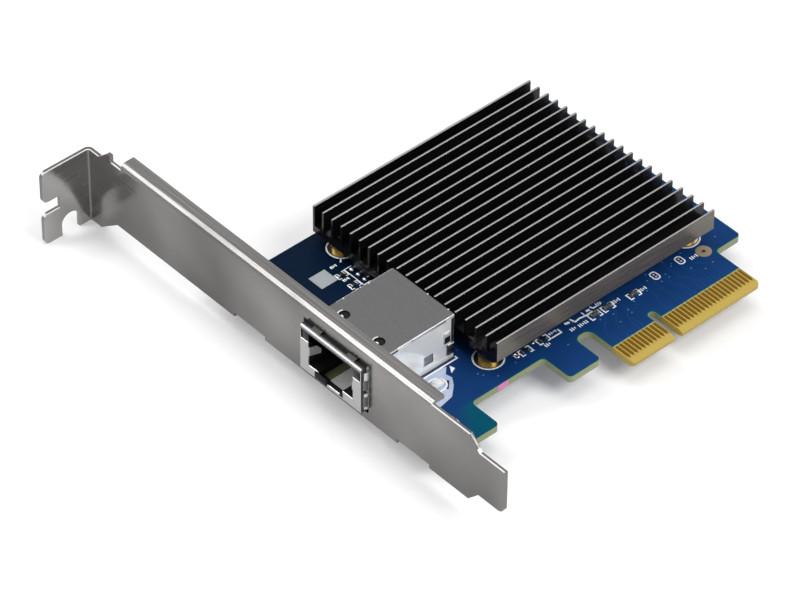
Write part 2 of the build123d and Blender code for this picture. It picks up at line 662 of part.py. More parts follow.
def heat_sink_barrels():
    """Brass barrels between the lands and the base, each with a neck pressed into the base."""
    pieces = []
    for x, y, low in fasteners():
        barrel = rod(x, y, 0, low, BARREL) + rod(x, y, low, neck_top(x, y), BARREL_NECK)
        pieces.append(barrel - rod(x, y, -1, SCREW_ENGAGE + NEAR, BARREL_BORE))
    return pieces


def heat_sink_screws():
    """Screws with a flanged head, from the solder side into the barrels."""
    flange_low = UNDERSIDE - SCREW_FLANGE_THICK
    screw = rod(0, 0, flange_low, SCREW_ENGAGE, SINK_SCREW)
    screw += rod(0, 0, flange_low, UNDERSIDE, SCREW_FLANGE)
    screw += rod(0, 0, flange_low - SINK_SCREW_HEAD_HEIGHT, flange_low, SINK_SCREW_HEAD)
    return [Pos(x, y, 0) * screw for x, y, low in fasteners()]


def chip(x, y, side):
    """Square package standing on its field of solder balls, up to the thermal pad."""
    half = side / 2
    top = REAR_BASE_LOW - PAD_THICK
    body = block(x - half, x + half, y - half, y + half, BALL_GAP, top)
    body = chamfer(body.edges().group_by(Axis.Z)[-1], CHIP_CHAMFER)
    field = half - BALL_MARGIN
    return body + block(x - field, x + field, y - field, y + field, 0, BALL_GAP)


def thermal_pads():
    """Soft pads between the two chips and the heat sink."""
    pads = []
    for x, y, side in (CONTROLLER, TRANSCEIVER):
        half = side / 2 - CHIP_CHAMFER
        pads.append(block(x - half, x + half, y - half, y + half, REAR_BASE_LOW - PAD_THICK, REAR_BASE_LOW))
    return pads


def on_board(size, x, y, below=False):
    """Small part of a given size standing on either face of the board."""
    length, width, height = size
    z0, z1 = (UNDERSIDE - height, UNDERSIDE) if below else (0, height)
    return block(x - length / 2, x + length / 2, y - width / 2, y + width / 2, z0, z1)


def power_inductors():
    """Shielded inductors under the stepped-up base."""
    parts = [on_board(INDUCTOR, x, INDUCTOR_Y) for x in INDUCTOR_XS]
    return [chamfer(part.edges().filter_by(Axis.Z), INDUCTOR_CHAMFER) for part in parts]


def polymer_capacitors():
    """Flat polymer capacitors beside the inductors."""
    return [on_board(POLYMER, x, POLYMER_Y) for x in POLYMER_XS]


def voltage_regulators():
    """Switching regulators, one beside each inductor."""
    return [on_board(REGULATOR, x + INDUCTOR[0], INDUCTOR_Y) for x in INDUCTOR_XS]


def small_regulator():
    """Three-lead regulator at the left end of the heat sink, its leads towards the bracket."""
    left = SMALL_REGULATOR_LEFT
    shape = on_board(SMALL_REGULATOR, left + SMALL_REGULATOR[0] / 2, SMALL_REGULATOR_Y)
    for offset in spread(SMALL_REGULATOR_LEAD_COUNT, SMALL_REGULATOR_PITCH):
        y, half = SMALL_REGULATOR_Y + offset, LEAD_WIDTH / 2
        shape += block(left - LEAD_REACH, left, y - half, y + half, 0, LEAD_THICK)
    return shape


def ceramic_capacitors():
    """Chip capacitors of the component side: a row behind each chip and some in front."""
    places = list(FRONT_CAPACITORS)
    for x, y, side in (CONTROLLER, TRANSCEIVER):
        row_y = y + side / 2 + CHIP_ROW_GAP
        places += [(x + offset, row_y) for offset in spread(CHIP_ROW_COUNT, CHIP_ROW_PITCH)]
    return [on_board(CAPACITOR, x, y) for x, y in places]


def chip_resistors():
    """Chip resistors by the small regulator and in front of the heat sink."""
    return [on_board(RESISTOR, x, y) for x, y in RESISTOR_PLACES]


def solder_side_capacitors():
    """Small capacitors on the solder side, in a ring under each chip."""
    places = []
    for centre_x, centre_y, side in (CONTROLLER, TRANSCEIVER):
        radius = side * RING_SHARE
        turns = [radians(360 * i / RING_COUNT) for i in range(RING_COUNT)]
        places += [(centre_x + radius * cos(turn), centre_y + radius * sin(turn)) for turn in turns]
    return [on_board(SMALL_CAPACITOR, x, y, below=True) for x, y in places]


def memory_chip():
    """Eight-lead memory chip on the solder side."""
    shape = on_board(MEMORY, MEMORY_X, MEMORY_Y, below=True)
    reach = MEMORY[1] / 2 + LEAD_REACH
    for offset in spread(MEMORY_LEAD_COUNT, MEMORY_PITCH):
        x, half = MEMORY_X + offset, LEAD_WIDTH / 2
        lead = area(x - half, x + half, MEMORY_Y - reach, MEMORY_Y + reach)
        shape += along_z(lead, UNDERSIDE - LEAD_THICK, UNDERSIDE)
    return shape


def main():
    """Write every node."""
    save("circuit_board", circuit_board())
    save("edge_contacts", edge_contacts())
    save("bracket", bracket())
    save("bracket_screws", bracket_screws())
    save("jack_shield", jack_shield())
    save("jack_housing", jack_housing())
    save("jack_module", jack_module())
    save("jack_contacts", jack_contacts())
    save("jack_pins", jack_pins())
    save("light_lenses", [lens_box(side, 0) for side in (-1, 1)])
    save("light_diodes", [lamp_box(side, 0) for side in (-1, 1)])
    save("heat_sink", heat_sink())
    save("heat_sink_barrels", heat_sink_barrels())
    save("heat_sink_screws", heat_sink_screws())
    save("controller_chip", chip(*CONTROLLER))
    save("transceiver_chip", chip(*TRANSCEIVER))
    save("thermal_pads", thermal_pads())
    save("power_inductors", power_inductors())
    save("polymer_capacitors", polymer_capacitors())
    save("voltage_regulators", voltage_regulators())
    save("small_regulator", small_regulator())
    save("reference_crystal", on_board(CRYSTAL, CRYSTAL_X, CRYSTAL_Y))
    save("memory_chip", memory_chip())
    save("ceramic_capacitors", ceramic_capacitors())
    save("chip_resistors", chip_resistors())
    save("solder_side_capacitors", solder_side_capacitors())
    save("indicator_lamp", on_board(LAMP, LAMP_X, LAMP_Y))


main()
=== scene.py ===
import logging
import math
from dataclasses import dataclass
from enum import Enum

import bmesh
import bpy
import numpy as np
from mathutils import Matrix, Vector


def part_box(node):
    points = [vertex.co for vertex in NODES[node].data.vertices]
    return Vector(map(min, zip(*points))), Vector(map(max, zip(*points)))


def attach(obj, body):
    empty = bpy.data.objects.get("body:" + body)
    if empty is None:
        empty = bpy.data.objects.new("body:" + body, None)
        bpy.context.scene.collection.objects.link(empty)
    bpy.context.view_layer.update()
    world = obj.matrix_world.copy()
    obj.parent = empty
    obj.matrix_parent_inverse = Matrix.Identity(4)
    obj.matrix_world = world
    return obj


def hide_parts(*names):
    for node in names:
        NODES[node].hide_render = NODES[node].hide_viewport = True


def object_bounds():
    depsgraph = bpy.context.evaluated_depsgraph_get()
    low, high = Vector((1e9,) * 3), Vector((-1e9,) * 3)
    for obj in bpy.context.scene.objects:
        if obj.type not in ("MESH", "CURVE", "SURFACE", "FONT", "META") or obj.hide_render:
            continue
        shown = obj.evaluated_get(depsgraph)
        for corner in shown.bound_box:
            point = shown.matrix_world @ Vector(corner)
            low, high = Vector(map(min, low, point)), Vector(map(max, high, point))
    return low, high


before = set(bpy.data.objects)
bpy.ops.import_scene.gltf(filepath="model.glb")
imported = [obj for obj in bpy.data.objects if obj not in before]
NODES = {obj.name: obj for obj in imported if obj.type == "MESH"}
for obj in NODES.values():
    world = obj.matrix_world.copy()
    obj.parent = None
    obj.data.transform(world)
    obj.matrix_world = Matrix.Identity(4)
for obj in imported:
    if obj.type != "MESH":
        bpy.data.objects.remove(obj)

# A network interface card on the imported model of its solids. Sizes here are in millimetres
# in the model's own frame: X runs from the bracket into the computer, Y from the edge
# connector towards the screw tab, Z out of the component side.

LOG = logging.getLogger("card")
MM = 0.001
BODY = "root"
CAD_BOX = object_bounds()

Place = tuple[float, float]
Point = tuple[float, float, float]
Array = np.ndarray
Rows = np.ndarray | list[tuple[float, ...]]
Tree = bpy.types.NodeTree
Socket = bpy.types.NodeSocket

# Sizes that several assemblies share: the board, the bracket's outer face, and the centres of
# the heat sink's fasteners and of the bracket's screws.
BOARD_THICKNESS = 1.57
BRACKET_FACE = -59.0
FASTENERS: tuple[Place, ...] = ((-32.1, 19.3), (-32.1, 61.6), (20.3, 19.3), (20.3, 61.6))
LUGS: tuple[Place, ...] = ((-51.0, 11.0), (-51.0, 58.0))


class Grain(Enum):
    """Direction in which a metal was brushed, drawn or extruded."""

    ALONG_X = 0
    ALONG_Y = 1
    ALONG_Z = 2


class Face(Enum):
    """Face of the board that a part stands on."""

    COMPONENT = 1
    SOLDER = -1


# Surfaces worked out with numpy


@dataclass
class Patch:
    """Points and four-sided faces of one or more surfaces, in millimetres.

    Args:
        points: one row of x, y and z for each point.
        quads: one row of four point numbers for each face.
    """

    points: Array
    quads: Array


def patch(points: Array, wrap_u: bool = False, wrap_v: bool = False) -> Patch:
    """Join a grid of points into a surface: each face takes the grid's four neighbouring points.

    Args:
        points: array of u by v by 3.
        wrap_u: whether the last row meets the first one.
        wrap_v: whether the last column meets the first one.

    Returns:
        The surface.
    """
    rows, columns = points.shape[:2]
    u = np.arange(rows if wrap_u else rows - 1)[:, None]
    v = np.arange(columns if wrap_v else columns - 1)[None, :]
    next_u, next_v = (u + 1) % rows, (v + 1) % columns
    corners = ((u, v), (next_u, v), (next_u, next_v), (u, next_v))
    quads = np.stack([a * columns + b for a, b in corners], axis=-1)
    return Patch(points.reshape(-1, 3), quads.reshape(-1, 4))


def join(patches: list[Patch]) -> Patch:
    """Several surfaces as one, with their point numbers moved on."""
    starts = np.cumsum([0] + [len(p.points) for p in patches])
    return Patch(np.concatenate([p.points for p in patches]),
                 np.concatenate([p.quads + start for p, start in zip(patches, starts)]))


def moved(shape: Patch, x: float, y: float, z: float = 0.0) -> Patch:
    """The surface moved by x, y and z."""
    return Patch(shape.points + np.array([x, y, z]), shape.quads)


def mirrored_z(shape: Patch, plane: float = 0.0) -> Patch:
    """The surface mirrored in a level plane: z becomes twice the plane's height less z."""
    points = shape.points * (1, 1, -1) + (0, 0, 2 * plane)
    return Patch(points, shape.quads[:, ::-1])


def turned(profile: Rows, steps: int = 24, closed: bool = False) -> Patch:
    """Turn a profile of radius and height about the vertical axis.

    A point is radius times the cosine of the angle, radius times its sine, and height.

    Args:
        profile: rows of radius and height.
        steps: points round the circle.
        closed: whether the profile's last point meets its first one, as on a ring.

    Returns:
        The surface of revolution.
    """
    angle = np.linspace(0, 2 * math.pi, steps, endpoint=False)[None, :]
    radius, height = np.array(profile, float).T[:, :, None]
    points = [radius * np.cos(angle), radius * np.sin(angle), height + 0 * angle]
    return patch(np.stack(points, axis=-1), wrap_u=closed, wrap_v=True)


def washer(inner: float, outer: float, low: float, high: float, steps: int = 32) -> Patch:
    """Flat ring: a rectangle between two radii and two heights, turned about the axis."""
    return turned([(inner, low), (outer, low), (outer, high), (inner, high)], steps, closed=True)


def dome(radius: float, rise: float, steps: int, low: float = 0.0, levels: int = 6) -> Patch:
    """Half an ellipse turned about its axis: radius by the angle's cosine, rise by its sine."""
    angle = np.linspace(0, math.pi / 2, levels)
    return turned(np.column_stack([radius * np.cos(angle), low + rise * np.sin(angle)]), steps)


def carried(path: Rows, section: Array, up: Point = (0, 0, 1), closed: bool = False) -> Patch:
    """Carry a closed section along a path.

    The side direction is the tangent crossed with up; each section point stands at the path
    point plus its first value along the side and its second along the remaining direction.

    Args:
        path: rows of x, y and z.
        section: rows of side and height, in order round the section.
        up: direction that the section's height follows as nearly as the path allows.
        closed: whether the path's end meets its start.

    Returns:
        The tube, open at its ends.
    """
    path = np.array(path, float)
    ahead = np.roll(path, -1, axis=0) - path
    behind = path - np.roll(path, 1, axis=0)
    if not closed:
        ahead[-1], behind[0] = behind[-1], ahead[0]
    ahead /= np.linalg.norm(ahead, axis=1, keepdims=True)
    behind /= np.linalg.norm(behind, axis=1, keepdims=True)
    tangent = ahead + behind
    tangent /= np.linalg.norm(tangent, axis=1, keepdims=True)
    side = np.cross(tangent, np.array(up, float))
    side /= np.linalg.norm(side, axis=1, keepdims=True)
    height = np.cross(side, tangent)
    miter = 1 / np.clip(np.sum(tangent * ahead, axis=1), 0.4, 1)
    sides = side[:, None, :] * section[None, :, 0, None] * miter[:, None, None]
    heights = height[:, None, :] * section[None, :, 1, None]
    return patch(path[:, None, :] + sides + heights, wrap_u=closed, wrap_v=True)


def box_section(width: float, low: float, high: float) -> Array:
    """Rectangular section, centred sideways, from low to high."""
    half = width / 2
    return np.array([(-half, low), (-half, high), (half, high), (half, low)])


def round_section(diameter: float, steps: int) -> Array:
    """Circular section: half the diameter times the cosine and sine of the angle."""
    angle = np.linspace(0, 2 * math.pi, steps, endpoint=False)
    return np.stack([np.cos(angle), np.sin(angle)], axis=1) * diameter / 2


def line(points: list[Place], width: float, low: float, high: float, closed: bool = False) -> Patch:
    """Flat strip of constant width and thickness along points of x and y."""
    return carried([(x, y, 0.0) for x, y in points], box_section(width, low, high), closed=closed)


def arc(x: float, y: float, radius: float, start: float, end: float, steps: int = 24) -> list[Place]:
    """Points of an arc: centre plus radius times cosine and sine, between two angles in degrees."""
    angles = np.radians(np.linspace(start, end, steps))
    return [(x + radius * float(np.cos(a)), y + radius * float(np.sin(a))) for a in angles]


def rectangle(x: float, y: float, length: float, width: float) -> list[Place]:
    """Corners of a rectangle round its centre, length along X and width along Y."""
    a, b = length / 2, width / 2
    return [(x - a, y - b), (x + a, y - b), (x + a, y + b), (x - a, y + b)]


def rounded_rectangle(x: float, y: float, width: float, height: float, radius: float) -> list[Place]:
    """Points round a rectangle, from its middle and sizes; its corners are quarter circles."""
    a, b = width / 2 - radius, height / 2 - radius
    return [point for i, (p, q) in enumerate([(a, b), (-a, b), (-a, -b), (a, -b)])
            for point in arc(x + p, y + q, radius, 90 * i, 90 * (i + 1), 6)]


def prism(points: list[Place], low: float, high: float) -> Patch:
    """Upright wall round an outline between two heights, which closes at its flat ends."""
    rings = [np.column_stack([points, np.full(len(points), z)]) for z in (low, high)]
    return patch(np.stack(rings), wrap_v=True)





def brick(low: Array | Point, high: Array | Point, round_off: float, steps: int = 3) -> Patch:
    """Box with rounded upright edges and rounded top and bottom rims.

    Each level is the outline of a rectangle whose corners are arcs; near the top and bottom
    the outline draws in by the round-off less its share of a quarter circle.

    Args:
        low: lowest corner.
        high: highest corner.
        round_off: radius of all edges.
        steps: points in each quarter circle.

    Returns:
        The surface, open at two small level outlines that are closed when it becomes a piece.
    """
    quarter = np.linspace(0, math.pi / 2, steps)
    rise = round_off * (1 - np.cos(quarter))
    inset = round_off * (1 - np.sin(quarter))
    levels = np.concatenate([low[2] + rise, high[2] - rise[::-1]])
    insets = np.concatenate([inset, inset[::-1]])
    angle = np.concatenate([quarter + i * math.pi / 2 for i in range(4)])
    sign_x = np.repeat([1, -1, -1, 1], steps)
    sign_y = np.repeat([1, 1, -1, -1], steps)
    corner_x = np.where(sign_x > 0, high[0], low[0])
    corner_y = np.where(sign_y > 0, high[1], low[1])
    radius = (round_off - insets)[:, None]
    x = corner_x - sign_x * round_off + radius * np.cos(angle)
    y = corner_y - sign_y * round_off + radius * np.sin(angle)
    z = np.broadcast_to(levels[:, None], x.shape)
    return patch(np.stack([x, y, z], axis=-1), wrap_v=True)


def fillet_of_solder(low: Array, high: Array, side: int, reach: float, rise: float) -> Patch:
    """Concave wedge of solder against the end of a small part.

    The section is a quarter circle pressed inwards: at share s of the way out, its height is
    the rise times the square of one less s. The section is carried across the part's width.

    Args:
        low: lowest corner of the part; its z is the board.
        high: highest corner of the part.
        side: -1 for the end at low X, 1 for the end at high X.
        reach: how far the solder runs out on the board.
        rise: how high it climbs on the part.

    Returns:
        The wedge.
    """
    inset = 0.06
    share = np.linspace(0, 1, 6)
    start = high[0] if side > 0 else low[0]
    out = np.append(start + side * reach * share, start)
    top = np.append(low[2] + rise * (1 - share) ** 2, low[2])
    ends = (low[1] + inset, high[1] - inset)
    rows = [np.column_stack([out, np.full(out.size, y), top]) for y in ends]
    return patch(np.stack(rows), wrap_v=True)


def cross_recess_head(radius: float, height: float, chamfer: float, arm: float, width: float,
                      depth: float) -> Patch:
    """Head of a screw with a cross recess, as heights over a circle.

    The height is the head's height, lowered near the rim by a quarter circle of the chamfer,
    and lowered inside the cross by the depth. A point is in the cross where it lies within
    half a width of either arm and within the arm's reach, with a soft border of a tenth of a
    millimetre.

    Args:
        radius: radius of the head.
        height: height of the head above what it stands on.
        chamfer: size of the rounded rim.
        arm: reach of the recess from the middle.
        width: width of an arm.
        depth: depth of the recess.

    Returns:
        The head, standing at height 0.
    """
    steps = 96
    border = 0.1
    flat = radius - chamfer
    radii = np.concatenate([np.linspace(0.001, flat, 30),
                            flat + chamfer * np.sin(np.linspace(0, math.pi / 2, 6))[1:]])
    angle = np.linspace(0, 2 * math.pi, steps, endpoint=False)
    r, a = radii[:, None], angle[None, :]
    x, y = r * np.cos(a), r * np.sin(a)
    rim = np.clip((r - flat) / chamfer, 0, 1)
    z = height - chamfer * (1 - np.sqrt(1 - rim ** 2)) + 0 * a
    near = np.minimum(np.abs(x), np.abs(y))
    along = np.maximum(np.abs(x), np.abs(y))
    inside = (np.clip((width / 2 - near) / border + 0.5, 0, 1)
              * np.clip((arm - along) / border + 0.5, 0, 1))
    z = z - depth * inside * np.clip(1.2 - along / arm * 0.7, 0, 1)
    skirt = np.stack([x[-1], y[-1], np.zeros(steps)], axis=-1)[None]
    return patch(np.concatenate([np.stack([x, y, z], axis=-1), skirt]), wrap_v=True)


# Finishes


def linear(hex_colour: str) -> tuple[float, float, float, float]:
    """Turn an sRGB hex colour into linear red, green, blue and alpha.

    Each channel is divided by 12.92 below 0.04045, and above it is raised to the power 2.4
    after 0.055 is added and the sum divided by 1.055.

    Args:
        hex_colour: the colour, as # and six digits.

    Returns:
        Red, green, blue and an alpha of 1.
    """
    channels = [int(hex_colour[i:i + 2], 16) / 255 for i in (1, 3, 5)]
    values = [c / 12.92 if c <= 0.04045 else ((c + 0.055) / 1.055) ** 2.4 for c in channels]
    return (*values, 1.0)


def add_node(tree: Tree, kind: str, values: dict | None = None, links: dict | None = None,
             **settings: object) -> bpy.types.Node:
    """Add a shader node.

    Args:
        tree: node tree that gets the node.
        kind: Blender's name of the node type.
        values: socket name or number to default value.
        links: socket name or number to the output socket that feeds it.
        settings: the node's own properties.

    Returns:
        The node.
    """
    node = tree.nodes.new(kind)
    for name, value in settings.items():
        setattr(node, name, value)
    for name, value in (values or {}).items():
        node.inputs[name].default_value = value
    for name, socket in (links or {}).items():
        tree.links.new(socket, node.inputs[name])
    return node


def blank_material(name: str) -> bpy.types.Material:
    """Make a material that has no nodes yet.

    Args:
        name: the material's name.

    Returns:
        The material.
    """
    material = bpy.data.materials.new(name)
    material.use_nodes = True
    material.node_tree.nodes.clear()
    return material


@dataclass(frozen=True)
class Finish:
    """A plain surface: its colour, how metallic and rough it is, and a fine grit in its relief.

    Args:
        name: what the material is and how its surface was made.
        colour: sRGB hex colour.
        metallic: 1 for bare metal, 0 for the rest.
        roughness: 0 is a mirror, 1 is chalk.
        grit: size of the grit or mottle, in millimetres.
        relief: depth of that grit, in millimetres.
        mottle: how far the grit lightens and darkens the colour, from 0 to 1.
        ior: index of refraction; a metal keeps the default.
    """

    name: str
    colour: str
    metallic: float = 0.0
    roughness: float = 0.5
    grit: float = 0.15
    relief: float = 0.004
    mottle: float = 0.12
    ior: float = 1.5

    def stretch(self) -> Point:
        """How many grit sizes long the grain is along X, Y and Z."""
        return (1.0, 1.0, 1.0)

    def build(self) -> bpy.types.Material:
        """Make the material once and hand out the same one afterwards.

        Returns:
            The material.
        """
        known = bpy.data.materials.get(self.name)
        if known is not None:
            return known
        material = blank_material(self.name)
        tree = material.node_tree
        add_node(tree, "ShaderNodeOutputMaterial", links={"Surface": self.shader(tree)})
        return material

    def grain(self, tree: Tree, size: float, detail: float = 3.0) -> Socket:
        """Noise on the object's own coordinates, stretched along the grain.

        Args:
            tree: the material's nodes.
            size: width of one grain, in millimetres.
            detail: how many finer layers the noise has.

        Returns:
            The noise value, from 0 to 1.
        """
        coordinates = add_node(tree, "ShaderNodeTexCoord")
        scale = tuple(1 / (size * MM * length) for length in self.stretch())
        mapping = add_node(tree, "ShaderNodeMapping", {"Scale": scale},
                           {"Vector": coordinates.outputs["Object"]})
        noise = add_node(tree, "ShaderNodeTexNoise",
                         {"Scale": 1.0, "Detail": detail, "Roughness": 0.55},
                         {"Vector": mapping.outputs["Vector"]})
        return noise.outputs["Fac"]

    def shaded(self, tree: Tree, noise: Socket) -> Socket:
        """Base colour lightened and darkened by the noise.

        Args:
            tree: the material's nodes.
            noise: noise from 0 to 1.

        Returns:
            The colour.
        """
        colour = np.array(linear(self.colour)[:3])
        dark, light = colour * (1 - self.mottle), np.minimum(colour * (1 + self.mottle), 1.0)
        mix = add_node(tree, "ShaderNodeMix", {6: (*dark, 1.0), 7: (*light, 1.0)}, {0: noise},
                       data_type="RGBA")
        return mix.outputs[2]

    def bumped(self, tree: Tree, height: Socket, strength: float) -> Socket:
        """Normal of the surface, with the given share of its relief."""
        bump = add_node(tree, "ShaderNodeBump",
                        {"Strength": strength, "Distance": self.relief * MM}, {"Height": height})
        return bump.outputs["Normal"]

    def shader(self, tree: Tree) -> Socket:
        """Principled surface with the mottle in its colour and the grit in its relief.

        Args:
            tree: the material's nodes.

        Returns:
            The surface.
        """
        noise = self.grain(tree, self.grit)
        principled = add_node(
            tree, "ShaderNodeBsdfPrincipled",
            {"Metallic": self.metallic, "Roughness": self.roughness, "IOR": self.ior},
            {"Base Color": self.shaded(tree, noise), "Normal": self.bumped(tree, noise, 0.6)})
        return principled.outputs["BSDF"]


@dataclass(frozen=True)
class BrushedMetal(Finish):
    """Metal with fine lines along one direction, from brushing, rolling or extrusion.

    Args:
        grain_axis: the direction of the lines.
        length: length of one line in line widths.
        cloud: size of the broad lighter and darker patches, in millimetres.
        cloud_share: how far those patches change the roughness.
        cloud_tint: how far they lighten and darken the colour, from 0 to 1.
    """

    grain_axis: Grain = Grain.ALONG_Y
    length: float = 40.0
    cloud: float = 9.0
    cloud_share: float = 0.10
    cloud_tint: float = 0.0

    def stretch(self) -> Point:
        """Long along the grain and one line width across it."""
        return tuple(self.length if i == self.grain_axis.value else 1.0 for i in range(3))

    def shader(self, tree: Tree) -> Socket:
        """Lines in colour, roughness and relief, and broad patches in colour and roughness.

        Args:
            tree: the material's nodes.

        Returns:
            The surface.
        """
        lines = self.grain(tree, self.grit, detail=4.0)
        coordinates = add_node(tree, "ShaderNodeTexCoord")
        patches = add_node(tree, "ShaderNodeTexNoise",
                           {"Scale": 1 / (self.cloud * MM), "Detail": 2.0},
                           {"Vector": coordinates.outputs["Object"]})
        low, high = self.roughness - self.cloud_share, self.roughness + self.cloud_share
        rough = add_node(tree, "ShaderNodeMapRange", {"To Min": low, "To Max": high},
                         {"Value": patches.outputs["Fac"]})
        streaked = add_node(tree, "ShaderNodeMath", {2: self.roughness * 0.25 * -0.5},
                            {0: lines, 1: rough.outputs["Result"]}, operation="MULTIPLY_ADD")
        spread = add_node(tree, "ShaderNodeMath", {1: 1.5}, {0: streaked.outputs["Value"]},
                          operation="MULTIPLY")
        low, high = 1 - self.cloud_tint, 1 + self.cloud_tint
        tint = add_node(tree, "ShaderNodeMapRange",
                        {"From Min": 0.3, "From Max": 0.7, "To Min": low, "To Max": high},
                        {"Value": patches.outputs["Fac"]})
        tinted = add_node(tree, "ShaderNodeVectorMath", operation="SCALE",
                          links={0: self.shaded(tree, lines), 3: tint.outputs["Result"]})
        principled = add_node(
            tree, "ShaderNodeBsdfPrincipled", {"Metallic": self.metallic},
            {"Base Color": tinted.outputs["Vector"], "Roughness": spread.outputs["Value"],
             "Normal": self.bumped(tree, lines, 0.5)})
        return principled.outputs["BSDF"]


@dataclass(frozen=True)
class FadingInk(Finish):
    """Ink coat that grows from one shade to another across the board.

    Args:
        far_colour: sRGB hex colour at the end of the change.
        start: x and y, in millimetres, at which the change starts.
        end: x and y at which it ends.
    """

    far_colour: str = "#000000"
    start: Place = (0.0, 0.0)
    end: Place = (0.0, 1.0)

    def shaded(self, tree: Tree, noise: Socket) -> Socket:
        """Mottled colour, mixed into the far one by how far the point lies from start to end.

        Args:
            tree: the material's nodes.
            noise: noise from 0 to 1.

        Returns:
            The colour.
        """
        near = super().shaded(tree, noise)
        way = np.subtract(self.end, self.start)
        step = way / float(way @ way)
        first = float(step @ np.array(self.start))
        coordinates = add_node(tree, "ShaderNodeTexCoord")
        reach = add_node(tree, "ShaderNodeVectorMath", {1: (step[0] / MM, step[1] / MM, 0.0)},
                         {0: coordinates.outputs["Object"]}, operation="DOT_PRODUCT")
        share = add_node(tree, "ShaderNodeMapRange", {"From Min": first, "From Max": first + 1.0},
                         {"Value": reach.outputs["Value"]}, interpolation_type="SMOOTHSTEP")
        mix = add_node(tree, "ShaderNodeMix", {7: linear(self.far_colour)},
                       {0: share.outputs["Result"], 6: near}, data_type="RGBA")
        return mix.outputs[2]


# Pieces


def span(node: str) -> tuple[Array, Array]:
    """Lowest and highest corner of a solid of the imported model, in millimetres."""
    low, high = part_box(node)
    return np.array(low) / MM, np.array(high) / MM


def values_of(items: bpy.types.bpy_prop_collection, name: str, width: int,
              kind: type = float) -> Array:
    """Read one property of all points, edges or faces of a mesh.

    Args:
        items: the mesh's points, edges or faces.
        name: the property.
        width: how many numbers it has.
        kind: kind of number.

    Returns:
        One row for each item.
    """
    found = np.zeros(len(items) * width, kind)
    items.foreach_get(name, found)
    return found.reshape(-1, width)


def bodies(node: str) -> Array:
    """Lowest and highest corners of each separate solid of a node.

    Points at one place are one. Each edge gives both its ends the lower of their two labels,
    until no label changes, and points that share a label are one solid.

    Args:
        node: name of the node.

    Returns:
        Array of solids by two corners by three, in millimetres.
    """
    mesh = NODES[node].data
    points = values_of(mesh.vertices, "co", 3)
    edges = values_of(mesh.edges, "vertices", 2, np.int32)
    places, numbers = np.unique(np.round(points / MM, 3), axis=0, return_inverse=True)
    ends = numbers.reshape(-1)[edges]
    labels = np.arange(len(places))
    settled = False
    while not settled:
        before = labels.copy()
        lower = labels[ends].min(axis=1)
        np.minimum.at(labels, ends[:, 0], lower)
        np.minimum.at(labels, ends[:, 1], lower)
        settled = bool(np.array_equal(before, labels))
    groups = [places[labels == label] for label in np.unique(labels)]
    return np.array([(group.min(axis=0), group.max(axis=0)) for group in groups])


def linked(name: str, data: bpy.types.ID) -> bpy.types.Object:
    """Make an object of the scene.

    Args:
        name: the object's name.
        data: its mesh, lamp or camera.

    Returns:
        The object.
    """
    thing = bpy.data.objects.new(name, data)
    bpy.context.scene.collection.objects.link(thing)
    return thing


def close_and_turn(mesh: bpy.types.Mesh, merge: float = 0.002) -> None:
    """Merge doubled points, close open rims and turn every face outwards.

    Args:
        mesh: the mesh that is changed.
        merge: distance under which points are one, in millimetres.
    """
    work = bmesh.new()
    work.from_mesh(mesh)
    bmesh.ops.remove_doubles(work, verts=work.verts, dist=merge * MM)
    bmesh.ops.dissolve_degenerate(work, edges=work.edges, dist=merge * MM)
    rims = [edge for edge in work.edges if edge.is_boundary]
    bmesh.ops.holes_fill(work, edges=rims, sides=0)
    bmesh.ops.recalc_face_normals(work, faces=work.faces)
    work.to_mesh(mesh)
    work.free()


def dress(piece: bpy.types.Object, replaces: tuple[str, ...], smooth: float,
          bevel: float) -> None:
    """Smooth a piece, round its edges, and tell the frame what it is.

    Args:
        piece: the object.
        replaces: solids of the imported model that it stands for.
        smooth: angle above which an edge stays sharp, in degrees.
        bevel: width of the rounding, in millimetres, or 0 for none.
    """
    piece.data.shade_smooth()
    piece.data.set_sharp_from_angle(angle=math.radians(smooth))
    if bevel:
        rounding = piece.modifiers.new("Rounded_edges", "BEVEL")
        rounding.width = bevel * MM
        rounding.segments = 2
        rounding.limit_method = "ANGLE"
        rounding.angle_limit = math.radians(smooth)
        rounding.harden_normals = True
    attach(piece, BODY)
    if replaces:
        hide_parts(*replaces)
    LOG.info("%s: %d faces", piece.name, len(piece.data.polygons))


def build_piece(name: str, parts: list[tuple[Patch, Finish]],
                replaces: tuple[str, ...] = (), smooth: float = 35.0) -> None:
    """Make one object of several surfaces, each with its finish.

    Args:
        name: the object's name.
        parts: surfaces with their finishes.
        replaces: solids that it stands for.
        smooth: angle above which an edge stays sharp, in degrees.
    """
    whole = join([shape for shape, _ in parts])
    finishes = list(dict.fromkeys(finish for _, finish in parts))
    numbers = [np.full(len(shape.quads), finishes.index(finish)) for shape, finish in parts]
    mesh = bpy.data.meshes.new(name)
    mesh.from_pydata((whole.points * MM).tolist(), [], whole.quads.tolist())
    for finish in finishes:
        mesh.materials.append(finish.build())
    mesh.polygons.foreach_set("material_index", np.concatenate(numbers).astype(np.int32))
    close_and_turn(mesh)
    dress(linked(name, mesh), replaces, smooth, bevel=0.0)


